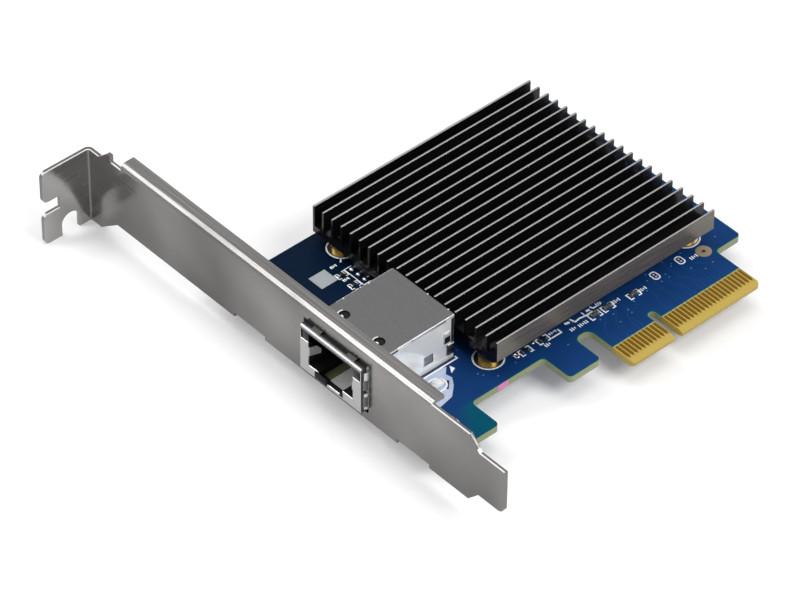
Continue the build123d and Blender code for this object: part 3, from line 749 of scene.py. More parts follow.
def refined_copy(name: str, node: str, finish: Finish, bevel: float) -> bpy.types.Object:
    """Copy a solid's mesh, merge its triangles into flat faces and round its edges.

    Args:
        name: the new object's name.
        node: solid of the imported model.
        finish: surface finish.
        bevel: width of the rounding, in millimetres, or 0 for none.

    Returns:
        The object that stands for the solid.
    """
    mesh = NODES[node].data.copy()
    mesh.name = name
    work = bmesh.new()
    work.from_mesh(mesh)
    bmesh.ops.remove_doubles(work, verts=work.verts, dist=0.001 * MM)
    bmesh.ops.dissolve_limit(work, angle_limit=math.radians(1.0), verts=work.verts,
                             edges=work.edges)
    work.to_mesh(mesh)
    work.free()
    mesh.materials.clear()
    mesh.materials.append(finish.build())
    mesh.polygons.foreach_set("material_index", np.zeros(len(mesh.polygons), np.int32))
    piece = linked(name, mesh)
    dress(piece, (node,), 30.0, bevel)
    return piece


def finish_nodes(finish: Finish, *nodes: str) -> None:
    """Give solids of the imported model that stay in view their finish.

    Args:
        finish: the finish.
        nodes: names of the solids.
    """
    for node in nodes:
        mesh = NODES[node].data
        mesh.materials.clear()
        mesh.materials.append(finish.build())
        LOG.info("%s: %s", node, finish.name)


def finish_faces(piece: bpy.types.Object, finish: Finish, chosen: Array) -> None:
    """Give the chosen faces of a piece another finish.

    Args:
        piece: the object.
        finish: the finish of those faces.
        chosen: one truth value for each face.
    """
    mesh = piece.data
    mesh.materials.append(finish.build())
    numbers = values_of(mesh.polygons, "material_index", 1, np.int32).reshape(-1)
    numbers[chosen] = len(mesh.materials) - 1
    mesh.polygons.foreach_set("material_index", numbers)


def face_values(piece: bpy.types.Object) -> tuple[Array, Array]:
    """Centre in millimetres and direction of each face of a piece."""
    faces = piece.data.polygons
    return values_of(faces, "center", 3) / MM, values_of(faces, "normal", 3)


def cut_faces(piece: bpy.types.Object, place: float, axis: int) -> None:
    """Cut a piece's faces along a plane square to an axis, so that finishes can change there.

    Args:
        piece: the object.
        place: where the plane stands on the axis, in millimetres.
        axis: number of the axis.
    """
    normal = Vector([1.0 if i == axis else 0.0 for i in range(3)])
    work = bmesh.new()
    work.from_mesh(piece.data)
    everything = list(work.verts) + list(work.edges) + list(work.faces)
    bmesh.ops.bisect_plane(work, geom=everything, dist=1e-7, plane_co=normal * place * MM,
                           plane_no=normal)
    work.to_mesh(piece.data)
    work.free()


# The finishes of this card. The numbers after a colour are how metallic it is, its roughness,
# the size and depth of its grit, its mottle and its index of refraction.

# Steel sheet, zinc plated and passivated: satin grey with the rolling lines along its length.
BRACKET_STEEL = BrushedMetal("Bracket_steel_zinc_plated", "#747271", 1.0, 0.33, 0.12, 0.0008, 0.05,
                             cloud=32.0, cloud_share=0.05, cloud_tint=0.5)
# The same sheet on the long flange, brushed along its length, and painted a shade lighter on its top as
# painted light.
FLANGE_STEEL_PAINTED_LIGHT = BrushedMetal("Bracket_flange_brushed_painted_light", "#7F7D7B", 1.0, 0.33, 0.35, 0.0008, 0.6,
                            length=70.0, cloud=20.0, cloud_share=0.05)
# The same sheet on the inner side of the tab, painted paler than the face as painted light.
TAB_STEEL_PAINTED_LIGHT = BrushedMetal("Bracket_tab_zinc_plated_painted_light", "#A3A1A0", 1.0, 0.31, 0.12, 0.0008, 0.05,
                         grain_axis=Grain.ALONG_X, cloud=20.0, cloud_share=0.05)
# The same sheet where it was sheared and rolled over: polished by the tool, and painted near white as
# painted highlights.
SHEARED_EDGE_HIGHLIGHT = Finish("Bracket_edge_sheared_painted_highlight", "#E9E9E6", 0.7, 0.3, 0.3, 0.002, 0.08)
# Machine screws, nickel plated after rolling: bright, with soft edges.
SCREW_STEEL = Finish("Screw_steel_nickel_plated", "#B4B4B0", 1.0, 0.27, 0.2, 0.003)
# The jack's shield of tinned sheet: its top has the broad faint mottle of hot tinning.
SHIELD_STEEL = Finish("Jack_shield_tinned", "#6D6D6E", 1.0, 0.34, 0.7, 0.006, 0.14)
# Its sides, painted nearly white as painted light, with lines along the draw.
SHIELD_SIDE_PAINTED_LIGHT = BrushedMetal("Jack_shield_side_painted_light", "#F6F7F6", 0.2, 0.32, 0.2, 0.003, 0.04,
                           grain_axis=Grain.ALONG_X, cloud=5.0)
# Its front face stands in its own shade: a dark satin grey.
SHIELD_FRONT = Finish("Jack_shield_front_tinned", "#525254", 0.9, 0.34, 0.2, 0.003)
# Its top ahead of the bracket, painted dark grey as painted shade.
SHIELD_SHADE = Finish("Jack_shield_lip_painted_shade", "#3E3D3C", 1.0, 0.45, 0.2, 0.003)
# Its sheared and folded edges, which catch the light as thin white lines, painted near white as painted
# highlights.
HIGHLIGHT_EDGE = Finish("Jack_shield_edges_painted_highlight", "#E8EAEC", 0.4, 0.25, 0.4, 0.002, 0.06)
# Its rolled lip, a polished rod that draws one bright line over the mouth.
ROLLED_LIP = Finish("Jack_shield_lip_rolled", "#9C9D9F", 1.0, 0.24, 0.4, 0.002, 0.06)
# The floors of its pressed cups, painted black as painted shade: two round holes to the eye.
CUP_SHADE = Finish("Jack_cup_painted_shade", "#111111", 0.0, 0.6, 0.3, 0.003, 0.12, 1.2)
# Its grounding tongues inside the mouth: grey tin, painted lighter than the shield as painted light in
# the dark.
TONGUE_TIN_PAINTED_LIGHT = Finish("Contact_tongue_tinned_painted_light", "#A8A8A9", 0.4, 0.3, 0.5, 0.003)
# Thick bright tin, on the floor of the latch channel and on bare pads: almost white. On the channel
# floor the white is partly painted light.
WHITE_TIN_AND_PAINTED_LIGHT = Finish("Channel_floor_tin_and_painted_light", "#E4E4E2", 0.3, 0.3, 0.8, 0.002, 0.06)
# Insulating film beside it, an olive lacquer with a soft sheen.
OLIVE_FILM = Finish("Channel_film_olive", "#6E6F52", 0.0, 0.35, 0.8, 0.002, 0.15)
# Natural nylon of the catches in the side windows: a flat mid grey.
CATCH_GREY = Finish("Catch_nylon_grey", "#7C8084", 0.0, 0.4, 0.2, 0.003)
# Tin and solder: bright and slightly uneven where it froze.
TIN = Finish("Tin_solder", "#C4C6C8", 1.0, 0.30, 0.25, 0.008, 0.1)
# Gold over nickel on copper: flat, warm, with a fine grain.
GOLD = Finish("Gold_plating", "#D8CC9C", 1.0, 0.28, 0.1, 0.002, 0.06)
# Hard gold of the contact bars, painted a deep brown yellow as painted shade.
CONTACT_GOLD_PAINTED_SHADE = Finish("Gold_contact_bars_painted_shade", "#785A1F", 1.0, 0.34, 0.1, 0.002)
# Solder mask, a clear ink coat with a faint orange peel. Over bare laminate it grows from blue
# at the bracket's corner to teal.
MASK_ON_LAMINATE = FadingInk("Solder_mask_on_laminate", "#12376A", 0.0, 0.36, 0.4, 0.002, 0.1, 1.12,
                             far_colour="#004A60", start=(-49.6, 10.4), end=(-45.6, 7.4))
# Over poured copper it is blue, and it darkens to navy where the board lies in shade.
MASK_ON_COPPER = FadingInk("Solder_mask_on_copper", "#12376A", 0.0, 0.36, 6.0, 0.002, 0.2, 1.12,
                           far_colour="#03172D", start=(0.0, 24.0), end=(0.0, 56.0))
# Over the traces, where it is thinner, it is one shade lighter.
MASK_ON_TRACES = Finish("Solder_mask_on_traces", "#184075", 0.0, 0.34, 0.4, 0.001, 0.08, 1.12)
# In the narrow gap at the jack's foot it is painted nearly black, as painted shade.
MASK_PAINTED_SHADE = Finish("Solder_mask_gap_painted_shade", "#0A1F44", 0.0, 0.35, 0.4, 0.001, 0.08)
# Over the vias' rings it is stretched thin, so they show as pale blue dots.
MASKED_VIA = Finish("Solder_mask_on_vias", "#5E83B0", 0.0, 0.4, 0.2, 0.002, 0.10)
# Epoxy ink, screen printed: flat white, a little grey where it is thin.
WHITE_INK = Finish("Screen_ink_white", "#FCFDFF", 0.0, 0.6, 0.15, 0.004, 0.06)
# The same ink printed as one large field, thinner and so a light grey.
PALE_INK = Finish("Screen_ink_pale", "#9BA0A3", 0.0, 0.55, 0.2, 0.003, 0.05)
# Dab of a tester's marker on the board's edge: a spot of pink.
PINK_INK = Finish("Marker_ink_pink", "#D77FB4", 0.0, 0.5, 0.3, 0.002, 0.10)
# Coated paper of the blank label: smooth, matt and off white.
LABEL_PAPER = Finish("Label_paper_coated", "#E9E9E4", 0.0, 0.55, 0.1, 0.003, 0.03)
# Sawn edge of glass cloth laminate: pale yellow green, dull and fibrous.
LAMINATE = Finish("Laminate_sawn_edge", "#8D9673", 0.0, 0.7, 0.12, 0.01, 0.16)
# Bare laminate round the contact bars: ochre, with the resin's sheen.
FINGER_LAMINATE = Finish("Laminate_at_contacts", "#AA913A", 0.0, 0.42, 0.2, 0.003, 0.08)
# Bare copper that has browned in the soldering oven.
BRONZED_COPPER = Finish("Copper_bronzed", "#91826A", 0.2, 0.5, 0.2, 0.004)
# Unlit wall of the tooling hole: a dull brown black.
DARK_BORE = Finish("Bore_shadow", "#2A2018", 0.0, 0.9, 0.2, 0.002)
# Hot air tinned copper, painted pale blue as a painted reflection of the mask round it.
TINNED_GROUND_REFLECTION = Finish("Tinned_ground_copper_painted_reflection", "#B4BFD6", 0.35, 0.3, 1.2, 0.003, 0.16)
# Glass filled nylon, injection moulded: black and faintly grainy.
BLACK_NYLON = Finish("Nylon_black_moulded", "#101011", 0.0, 0.6, 0.1, 0.004, 0.12, 1.25)
# Epoxy mould compound of the chips: charcoal, with the matt bloom of the mould.
BLACK_EPOXY = Finish("Epoxy_mould_compound", "#26262A", 0.0, 0.55, 0.08, 0.004, 0.2)
# Epoxy lenses of the indicators: smoky and glossy.
CLEAR_LENS = Finish("Indicator_lens_epoxy", "#343537", 0.0, 0.35, 0.5, 0.001, 0.05, 1.15)
# Moulded body of the lamps: a milky white.
WHITE_LAMP = Finish("Lamp_white_moulded", "#E4E6E2", 0.0, 0.4, 0.2, 0.003, 0.04)
# Extruded aluminium, black anodised: the die lines run along X and show as grey sheen.
BLACK_ALUMINIUM = BrushedMetal("Aluminium_black_anodised", "#343333", 0.85, 0.36, 0.10, 0.004, 0.16,
                               grain_axis=Grain.ALONG_X)
# Its outer side, brushed after the die and painted a warm grey, lighter than the black, as painted
# light.
OUTER_ALUMINIUM_PAINTED_LIGHT = BrushedMetal("Aluminium_anodised_outer_painted_light", "#655F5A", 0.35, 0.5, 0.09, 0.002, 0.24,
                               grain_axis=Grain.ALONG_X, length=70.0, cloud=14.0)
# Its sawn right end: grey where the saw went through the dye.
SAWN_ALUMINIUM = BrushedMetal("Aluminium_anodised_sawn", "#5A5958", 0.6, 0.45, 0.12, 0.004, 0.2,
                              grain_axis=Grain.ALONG_Z)
# The same aluminium milled bare along the top of the fins: thin silver lines.
BARE_ALUMINIUM = Finish("Aluminium_milled_bare", "#A6A6A5", 1.0, 0.34, 0.3, 0.0005, 0.04)
# Brass turned on a lathe, painted a dark muted yellow as painted shade under the heat sink.
TURNED_BRASS_PAINTED_SHADE = Finish("Brass_turned_painted_shade", "#857346", 1.0, 0.3, 0.12, 0.004)
# The barrels' riveted ends among the fins, painted near black as painted shade.
RIVET_ENDS_PAINTED_SHADE = Finish("Brass_ends_painted_shade", "#2C2A27", 0.3, 0.45, 0.2, 0.004)
# Silicone pad loaded with ceramic powder: a chalky blue grey.
GREY_PAD = Finish("Thermal_pad_silicone", "#8B9096", 0.0, 0.8, 0.15, 0.01)
# Pressed iron powder with a lacquer: dark grey and coarse.
FERRITE = Finish("Ferrite_pressed", "#4B4A4C", 0.0, 0.6, 0.18, 0.012, 0.25)
# Moulded case of the polymer capacitors: near black, smoother than the chips.
CAPACITOR_CASE = Finish("Capacitor_case_moulded", "#2C2B2D", 0.0, 0.45, 0.12, 0.004)
# Fired glass glaze over the resistors: black and glossy.
RESISTOR_GLAZE = Finish("Resistor_glaze", "#1B1C20", 0.0, 0.35, 0.2, 0.002)
# Fired ceramic of the chip capacitors: dark brown, with a fine grain.
CERAMIC = Finish("Ceramic_fired", "#54493C", 0.0, 0.5, 0.1, 0.004)


@dataclass
class Studio:
    """Floor, light and camera.

    Args:
        floor_height: height of the floor, on which the card lies.
        floor_reach: half of the floor's size.
        eye: place of the camera.
        azimuth: compass angle of the view, 0 looking along +Y.
        elevation: angle above the level.
        roll: turn of the picture.
        focal: focal length in pixels of a picture of that width.
        sensor: width of the camera's sensor.
        picture_width: width of the picture in pixels.
        target: place that the lamps are aimed at.
    """

    floor_height: float = float(CAD_BOX[0][2]) / MM
    floor_reach: float = 3000.0
    eye: Point = (-500.8, -470.0, 634.3)
    azimuth: float = -42.33
    elevation: float = 42.44
    roll: float = 0.54
    focal: float = 4854.6
    sensor: float = 36.0
    picture_width: float = 800.0
    target: Point = (-20.0, 40.0, 0.0)

    def back(self) -> Vector:
        """Direction from the card to the camera."""
        turn, rise = math.radians(self.azimuth), math.radians(self.elevation)
        return Vector((math.sin(turn) * math.cos(rise), -math.cos(turn) * math.cos(rise),
                       math.sin(rise)))

    @staticmethod
    def seen(tree: Tree) -> Socket:
        """Tell what the camera, a mirror or a lens sees from light on matt surfaces.

        Args:
            tree: the nodes of a material or of the world.

        Returns:
            1 for what is seen and 0 for the light.
        """
        rays = add_node(tree, "ShaderNodeLightPath").outputs
        total = rays["Is Camera Ray"]
        for name in ("Is Glossy Ray", "Is Transmission Ray"):
            total = add_node(tree, "ShaderNodeMath", links={0: total, 1: rays[name]},
                             operation="ADD").outputs["Value"]
        return total

    def camera(self) -> None:
        """Put the camera where the photograph was taken from."""
        data = bpy.data.cameras.new("View")
        data.sensor_width = self.sensor
        data.lens = self.focal * self.sensor / self.picture_width
        data.clip_start = 0.05
        data.clip_end = 20.0
        view = linked("View", data)
        facing = self.back().to_track_quat("Z", "Y").to_matrix().to_4x4()
        roll = Matrix.Rotation(math.radians(self.roll), 4, "Z")
        view.matrix_world = Matrix.Translation(Vector(self.eye) * MM) @ facing @ roll
        bpy.context.scene.camera = view

    def world(self) -> None:
        """White to the camera and in reflections, and softer as light on matt surfaces.

        The light is a tall gradient: a bright ceiling and darker walls.
        """
        world = bpy.data.worlds.new("Studio_white")
        world.use_nodes = True
        tree = world.node_tree
        tree.nodes.clear()
        seen = self.seen(tree)
        colour = {"Color": linear("#FFFFFF")}
        white = add_node(tree, "ShaderNodeBackground", {**colour, "Strength": 1.0})
        direction = add_node(tree, "ShaderNodeTexCoord")
        parts = add_node(tree, "ShaderNodeSeparateXYZ",
                         links={"Vector": direction.outputs["Generated"]})
        level = add_node(tree, "ShaderNodeMapRange",
                         {"From Min": 0.0, "From Max": 0.8, "To Min": 0.26, "To Max": 0.42},
                         {"Value": parts.outputs["Z"]})
        soft = add_node(tree, "ShaderNodeBackground", colour, {"Strength": level.outputs["Result"]})
        mix = add_node(tree, "ShaderNodeMixShader",
                       links={0: seen, 1: soft.outputs["Background"], 2: white.outputs["Background"]})
        add_node(tree, "ShaderNodeOutputWorld", links={"Surface": mix.outputs["Shader"]})
        bpy.context.scene.world = world

    def lamp(self, name: str, place: Point, size: tuple[float, float], watts: float,
             along: Point = (1.0, 0.0, 0.0)) -> None:
        """Soft lamp aimed at the card.

        Args:
            name: the lamp's name.
            place: where it stands, in millimetres.
            size: its length and width, in millimetres.
            watts: its power.
            along: direction that its length follows as nearly as its aim allows.
        """
        data = bpy.data.lights.new(name, "AREA")
        data.shape = "RECTANGLE"
        data.size, data.size_y = size[0] * MM, size[1] * MM
        data.energy = watts
        back = (Vector(place) - Vector(self.target)).normalized()
        side = (Vector(along) - back * Vector(along).dot(back)).normalized()
        facing = Matrix((side, back.cross(side), back)).transposed().to_4x4()
        linked(name, data).matrix_world = Matrix.Translation(Vector(place) * MM) @ facing

    def floor(self) -> None:
        """Level floor that the camera sees as white where it is lit, and grey in shadow."""
        across = np.array([-self.floor_reach, 0.0, self.floor_reach])
        x, y = np.meshgrid(across, across, indexing="ij")
        shape = patch(np.stack([x, y, np.full_like(x, self.floor_height)], axis=-1))
        mesh = bpy.data.meshes.new("Floor")
        mesh.from_pydata((shape.points * MM).tolist(), [], shape.quads.tolist())
        # White backdrop paper: matt, with a faint glow that keeps it white to the camera.
        material = blank_material("Backdrop_paper_white")
        tree = material.node_tree
        paper = add_node(tree, "ShaderNodeBsdfDiffuse", {"Color": linear("#EAEAEA")})
        glow = add_node(tree, "ShaderNodeEmission", {"Color": linear("#FFFFFF"), "Strength": 0.16})
        both = add_node(tree, "ShaderNodeAddShader",
                        links={0: paper.outputs["BSDF"], 1: glow.outputs["Emission"]})
        mix = add_node(tree, "ShaderNodeMixShader",
                       links={0: self.seen(tree), 1: paper.outputs["BSDF"], 2: both.outputs["Shader"]})
        add_node(tree, "ShaderNodeOutputMaterial", links={"Surface": mix.outputs["Shader"]})
        mesh.materials.append(material)
        linked("Floor", mesh)

    def build(self) -> None:
        """Make the whole studio."""
        bpy.context.scene.view_settings.view_transform = "Standard"
        self.camera()
        self.world()
        self.floor()
        # The long lamp lies across the bracket's bend, which shows it as one white line.
        self.lamp("Long_lamp", (-345.0, 462.0, 489.0), (1000.0, 180.0), 3.0, (-0.833, 0.0, -0.553))
        self.lamp("Left_lamp", (-850.0, 60.0, 420.0), (420.0, 420.0), 1.3)
        self.lamp("Top_lamp", (60.0, -10.0, 850.0), (500.0, 500.0), 1.7)
        self.lamp("Front_lamp", (150.0, -490.0, 600.0), (420.0, 300.0), 3.5)
        LOG.info("studio built")


@dataclass
class CircuitBoard:
    """Blue board with its copper, vias, printed marks, contacts and soldered places.

    Args:
        thickness: thickness of the board.
        finger_top: height up to which the laminate is bare at the contacts.
        finger_left: X at which that bare zone starts.
        stroke: width of a printed line.
        ink: thickness of the printed ink.
        copper: height of the masked copper over the masked laminate.
        trace: width of a signal trace.
        tooling: centre of the tooling hole.
        bore: radius of the tooling hole inside its plated wall.
        twins: X of the two pairs of bare pads in the front row.
        via_count: number of vias that are tried for.
    """

    thickness: float = BOARD_THICKNESS
    finger_top: float = 5.75
    finger_left: float = -13.5
    stroke: float = 0.32
    ink: float = 0.035
    copper: float = 0.012
    trace: float = 0.16
    tooling: Place = (20.3, 13.9)
    bore: float = 0.44
    twins: Place = (14.95, 8.15)
    via_count: int = 620

    def build(self) -> None:
        """Make the board's pieces."""
        self.laminate()
        self.poured_copper()
        self.traces()
        self.vias()
        self.lands()
        self.printing()
        self.ground_pad()
        self.solder()
        self.underside_label()
        finish_nodes(CONTACT_GOLD_PAINTED_SHADE, "edge_contacts")

    def on(self, face: Face, shape: Patch) -> Patch:
        """The shape as it is for the component side, or mirrored through the board."""
        return shape if face is Face.COMPONENT else mirrored_z(shape, -self.thickness / 2)

    def laminate(self) -> None:
        """Masked faces, sawn edges and the bare zone at the contacts."""
        piece = refined_copy("Laminate", "circuit_board", MASK_ON_LAMINATE, bevel=0.0)
        cut_faces(piece, self.finger_top, axis=1)
        centres, normals = face_values(piece)
        x, y = centres[:, 0], centres[:, 1]
        finish_faces(piece, LAMINATE, np.abs(normals[:, 2]) <= 0.95)
        finish_faces(piece, FINGER_LAMINATE, (y < self.finger_top) & (x > self.finger_left))
        rows = ((-12.15, -0.95), (0.95, 22.15))
        rims = [self.on(face, line([(a, self.finger_top), (b, self.finger_top)], 0.16, -0.005, 0.02))
                for face in Face for a, b in rows]
        dab = prism(rectangle(-34.55, 12.535, 2.7, 0.13), -1.45, -0.06)
        build_piece("Mask_rims", [(join(rims), LAMINATE), (dab, PINK_INK)])

    def poured_copper(self) -> None:
        """Ground copper under the mask, which ends short of every edge of the board."""
        outline = [(-56.65, 68.28), (28.95, 68.28), (28.95, 12.8), (21.94, 12.8),
                   *arc(*self.tooling, 0.8, -29, 327, 20),
                   (21.9, 12.8), (21.9, 6.1), (1.3, 6.1), (1.25, 7.9), (0.65, 8.6), (-0.65, 8.6),
                   (-1.25, 7.9), (-1.3, 6.1), (-11.85, 6.1), (-11.85, 11.4), (-12.7, 12.7),
                   (-15.4, 12.7), (-16.25, 11.4), (-16.25, 5.3), (-23.85, 5.3), (-23.85, 12.8),
                   (-42.4, 12.8), (-47.0, 12.9), (-49.6, 12.1), (-51.2, 9.0), (-51.2, 4.9),
                   (-56.65, 4.9)]
        shapes = [self.on(face, prism(outline, -0.004, self.copper)) for face in Face]
        build_piece("Copper_pours", [(join(shapes), MASK_ON_COPPER)])

    def contact_pairs(self) -> list[Place]:
        """X of every two neighbouring contacts, in two rows on either side of the key."""
        places = [i - 11.5 for i in range(11)] + [1.5 + i for i in range(21)]
        return list(zip(places, places[1:]))

    def escape(self, x: float, mate: float, shift: float, end: float) -> list[Place]:
        """Route of one trace from its contact: it closes up to its mate, then both step aside.

        Args:
            x: the contact.
            mate: the contact of the other trace of the pair.
            shift: how far the pair steps aside.
            end: Y at which the trace ends.

        Returns:
            Points of the route.
        """
        gap = 0.17
        start, bend, level = 5.6, 8.9, 10.2
        meet = (x + mate) / 2 + math.copysign(gap, x - mate)
        aside = meet + shift
        return [(x, start), (x, bend), (meet, bend + abs(x - meet)), (meet, level),
                (aside, level + abs(shift)), (aside, end)]

    def routes(self, face: Face) -> list[list[Place]]:
        """Routes of one face: pairs from the contacts, a bus of four and a fan of five.

        Args:
            face: the face of the board.

        Returns:
            Points of each route.
        """
        number = 0 if face is Face.COMPONENT else 1
        found = []
        for a, b in self.contact_pairs()[1 + number::3]:
            over_key = b - a > 1.5
            if not over_key:
                shift = -0.35 * (a - 5.0) / 2 + 0.4 * number
                end = 42.0 - abs(a) * 0.5 if number else 40.0
                found += [self.escape(a, b, shift, end), self.escape(b, a, shift, end)]
        for i in range(4):
            y = 31.0 + 0.55 * i
            found.append([(-38.5, y - 4.0), (-36.0, y - 4.0), (-33.0, y - 1.0), (-28.0, y - 1.0),
                          (-20.0, y + 7.0)])
        for i in range(5):
            x = -40.0 + 0.6 * i
            found.append([(x, 43.0), (x, 47.0 + i), (x + 3.0, 50.0 + i), (x + 6.0 - i, 50.0 + i)])
        return found

    def traces(self) -> None:
        """Signal traces of both faces, twice as high as the poured copper."""
        shapes = [self.on(face, line(route, self.trace, 0.0, self.copper * 2))
                  for face in Face for route in self.routes(face)]
        build_piece("Traces", [(join(shapes), MASK_ON_TRACES)])

    def via_places(self) -> Array:
        """Places of vias: scattered with a fixed seed, kept off every part, hole and printed mark.

        Returns:
            Rows of x and y.
        """
        chance = np.random.default_rng(11)
        grid, margin = 0.5, 0.9
        places = np.column_stack([chance.uniform(-55.5, 28.0, self.via_count),
                                  chance.uniform(9.6, 67.2, self.via_count)])
        stitched = np.column_stack([np.linspace(-54.0, 27.0, 28), np.full(28, 67.1)])
        places = np.concatenate([np.round(places / grid) * grid, stitched])
        places = np.unique(places, axis=0)
        nodes = ("ceramic_capacitors", "chip_resistors", "solder_side_capacitors",
                 "small_regulator", "memory_chip", "controller_chip", "transceiver_chip",
                 "indicator_lamp", "power_inductors", "polymer_capacitors", "voltage_regulators",
                 "jack_module", "jack_housing", "reference_crystal", "bracket_screws",
                 "heat_sink_barrels")
        open_ground = [(-60, 0, -41.5, 13.4), (-24.9, 0, -23.0, 13.4), (-17.0, 0, -11.4, 13.2),
                       (-43.0, 0, -24.0, 13.4), (22.0, 0, 30.0, 13.4), (-43.2, 54.8, -38.6, 59.5),
                       (-51, 15, -38.4, 24.2), (18.2, 11.8, 22.4, 16.0), (-3.2, 0, 3.2, 9.6),
                       (-57, 44, -30, 69)]
        boxes = [bodies(node)[:, :, :2].reshape(-1, 4) for node in nodes]
        x0, y0, x1, y1 = np.concatenate([*boxes, np.array(open_ground)]).T
        x, y = places[:, 0, None], places[:, 1, None]
        hit = ((x > x0 - margin) & (x < x1 + margin)
               & (y > y0 - margin) & (y < y1 + margin)).any(axis=1)
        return places[~hit]

    def vias(self) -> None:
        """Small plated rings with a dark bore, tented by the mask, on both faces."""
        ring = washer(0.07, 0.17, 0.0, 0.035, 8)
        rings = join([moved(ring, *place) for place in self.via_places()])
        build_piece("Vias", [(self.on(face, rings), MASKED_VIA) for face in Face])

    def lands(self) -> None:
        """Gold rings round the fasteners and screws, and the tooling hole's ring and wall."""
        x, y = self.tooling
        land, ring = washer(1.2, 2.7, 0.0, 0.04), washer(0.56, 1.65, 0.0, 0.05)
        wall = washer(self.bore, 0.56, -self.thickness - 0.04, 0.05)
        gold = [self.on(face, moved(land, *place)) for face in Face for place in FASTENERS]
        gold += [moved(washer(1.62, 3.1, 0.0, 0.04), *place) for place in LUGS]
        tan = [self.on(face, moved(ring, x, y)) for face in Face] + [moved(wall, x, y)]
        # The bore is a dark plug that closes the tooling hole: painted shade for its unlit inside.
        bore = turned([(self.bore, -self.thickness - 0.02), (self.bore, 0.03), (0.02, 0.03)], 20)
        build_piece("Gold_lands", [(join(gold), GOLD), (join(tan), BRONZED_COPPER),
                                   (moved(bore, x, y), DARK_BORE)])

    def mark(self, points: list[Place], width: float | None = None, closed: bool = False) -> Patch:
        """Printed line along points, as wide as the stroke where no width is given."""
        return line(points, width or self.stroke, 0.0, self.ink, closed)

    def part_mark(self, x: float, y: float, length: float = 2.7, width: float = 1.6,
                  turn: bool = False, weight: float = 0.85) -> list[Patch]:
        """Printed corners round a small part: two brackets, open in the middle of its long sides.

        Args:
            x: X of the part's middle.
            y: Y of its middle.
            length: size along X.
            width: size along Y.
            turn: whether the two sizes change places.
            weight: width of the line as a share of the stroke.

        Returns:
            The two brackets.
        """
        a, b, arm = length / 2, width / 2, length * 0.28
        shapes = []
        for side in (-1, 1):
            points = [(side * (a - arm), -b), (side * a, -b), (side * a, b), (side * (a - arm), b)]
            if turn:
                points = [(q, p) for p, q in points]
            shapes.append(self.mark([(x + p, y + q) for p, q in points], self.stroke * weight))
        return shapes

    def dashes(self, x: float, y: float, count: int, pitch: float = 0.5,
               height: float = 0.85) -> list[Patch]:
        """A run of short printed strokes from x on, every third one shorter, with no lettering."""
        halves = [height * (0.55 if i % 3 == 2 else 1.0) / 2 for i in range(count)]
        return [self.mark([(x + i * pitch, y - half), (x + i * pitch, y + half)], 0.25)
                for i, half in enumerate(halves)]

    def rear_marks(self) -> list[Patch]:
        """Marks at the small regulator, round the jack and on the free ground to the right.

        Returns:
            The printed lines.
        """
        fine = self.stroke * 0.6
        rows = (([(-34.3, 59.4), (-35.1, 58.6)], None),
                ([(-34.2, 56.5), (-36.0, 56.5), (-36.0, 50.7), (-34.2, 50.7)], fine),
                ([(-36.0, 50.8), (-36.0, 42.2), (-37.4, 42.2)], fine),
                ([(-56.0, 23.35), (-36.5, 23.35), (-36.5, 24.0)], None),
                ([(-56.0, 42.3), (-36.5, 42.3)], None))
        shapes = [self.mark(points, width) for points, width in rows]
        for y in (55.7, 51.9):
            shapes += self.part_mark(-37.4, y, 2.4, 1.5, weight=0.5)
            shapes += self.dashes(-38.2, y - 1.5, 4, pitch=0.4, height=0.7)
        shapes += self.dashes(-37.6, 58.6, 4, pitch=0.4, height=0.7)
        cut_ring = arc(-44.3, 20.3, 1.75, -100, 100, 20) + [(-46.2, 22.0), (-46.2, 18.6)]
        shapes.append(self.mark(cut_ring, closed=True))
        shapes.append(prism([(-39.07, 22.7), (-38.7, 21.55), (-40.1, 20.97)], 0, self.ink))
        shapes.append(self.mark(rectangle(26.4, 40.0, 2.0, 8.0), closed=True))
        for y in (30.0, 50.0):
            shapes += self.part_mark(26.4, y, turn=True)
        return shapes

    def front_marks(self) -> list[Patch]:
        """Marks of the front row: two rounded outlines, small parts and loose strokes.

        Returns:
            The printed lines.
        """
        shapes = [self.mark(rounded_rectangle(x, 15.1, 1.45, 2.1, 0.55), self.stroke * 0.85, True)
                  for x in self.twins]
        for x, y in ((-8.4, 14.6), (-5.0, 14.6), (1.3, 13.9), (-25.4, 16.1), (-20.7, 16.2)):
            shapes += self.part_mark(x, y)
        for x, y, count in ((16.9, 14.0, 4), (2.9, 13.9, 4), (-3.3, 14.9, 4), (-12.8, 14.4, 5),
                            (-14.8, 14.6, 3), (-21.5, 14.6, 3), (-28.0, 16.2, 3), (-6.2, 16.6, 3)):
            shapes += self.dashes(x, y, count)
        shapes += self.dashes(-18.7, 16.5, 4, height=0.6)
        rows = (([(-19.1, 15.4), (-16.6, 15.4), (-16.6, 16.6)], None),
                ([(-14.6, 16.65), (-13.5, 16.45)], 0.6),
                ([(-12.95, 17.0), (-12.55, 15.75), (-11.3, 15.95), (-9.8, 15.7), (-8.0, 15.75)],
                 self.stroke * 1.2),
                ([(-9.95, 16.9), (-9.9, 16.1)], None),
                ([(-9.0, 16.6), (-8.1, 16.45)], 0.55),
                ([(-7.6, 17.1), (-7.3, 16.3), (-5.2, 16.3)], None))
        return shapes + [self.mark(points, width) for points, width in rows]

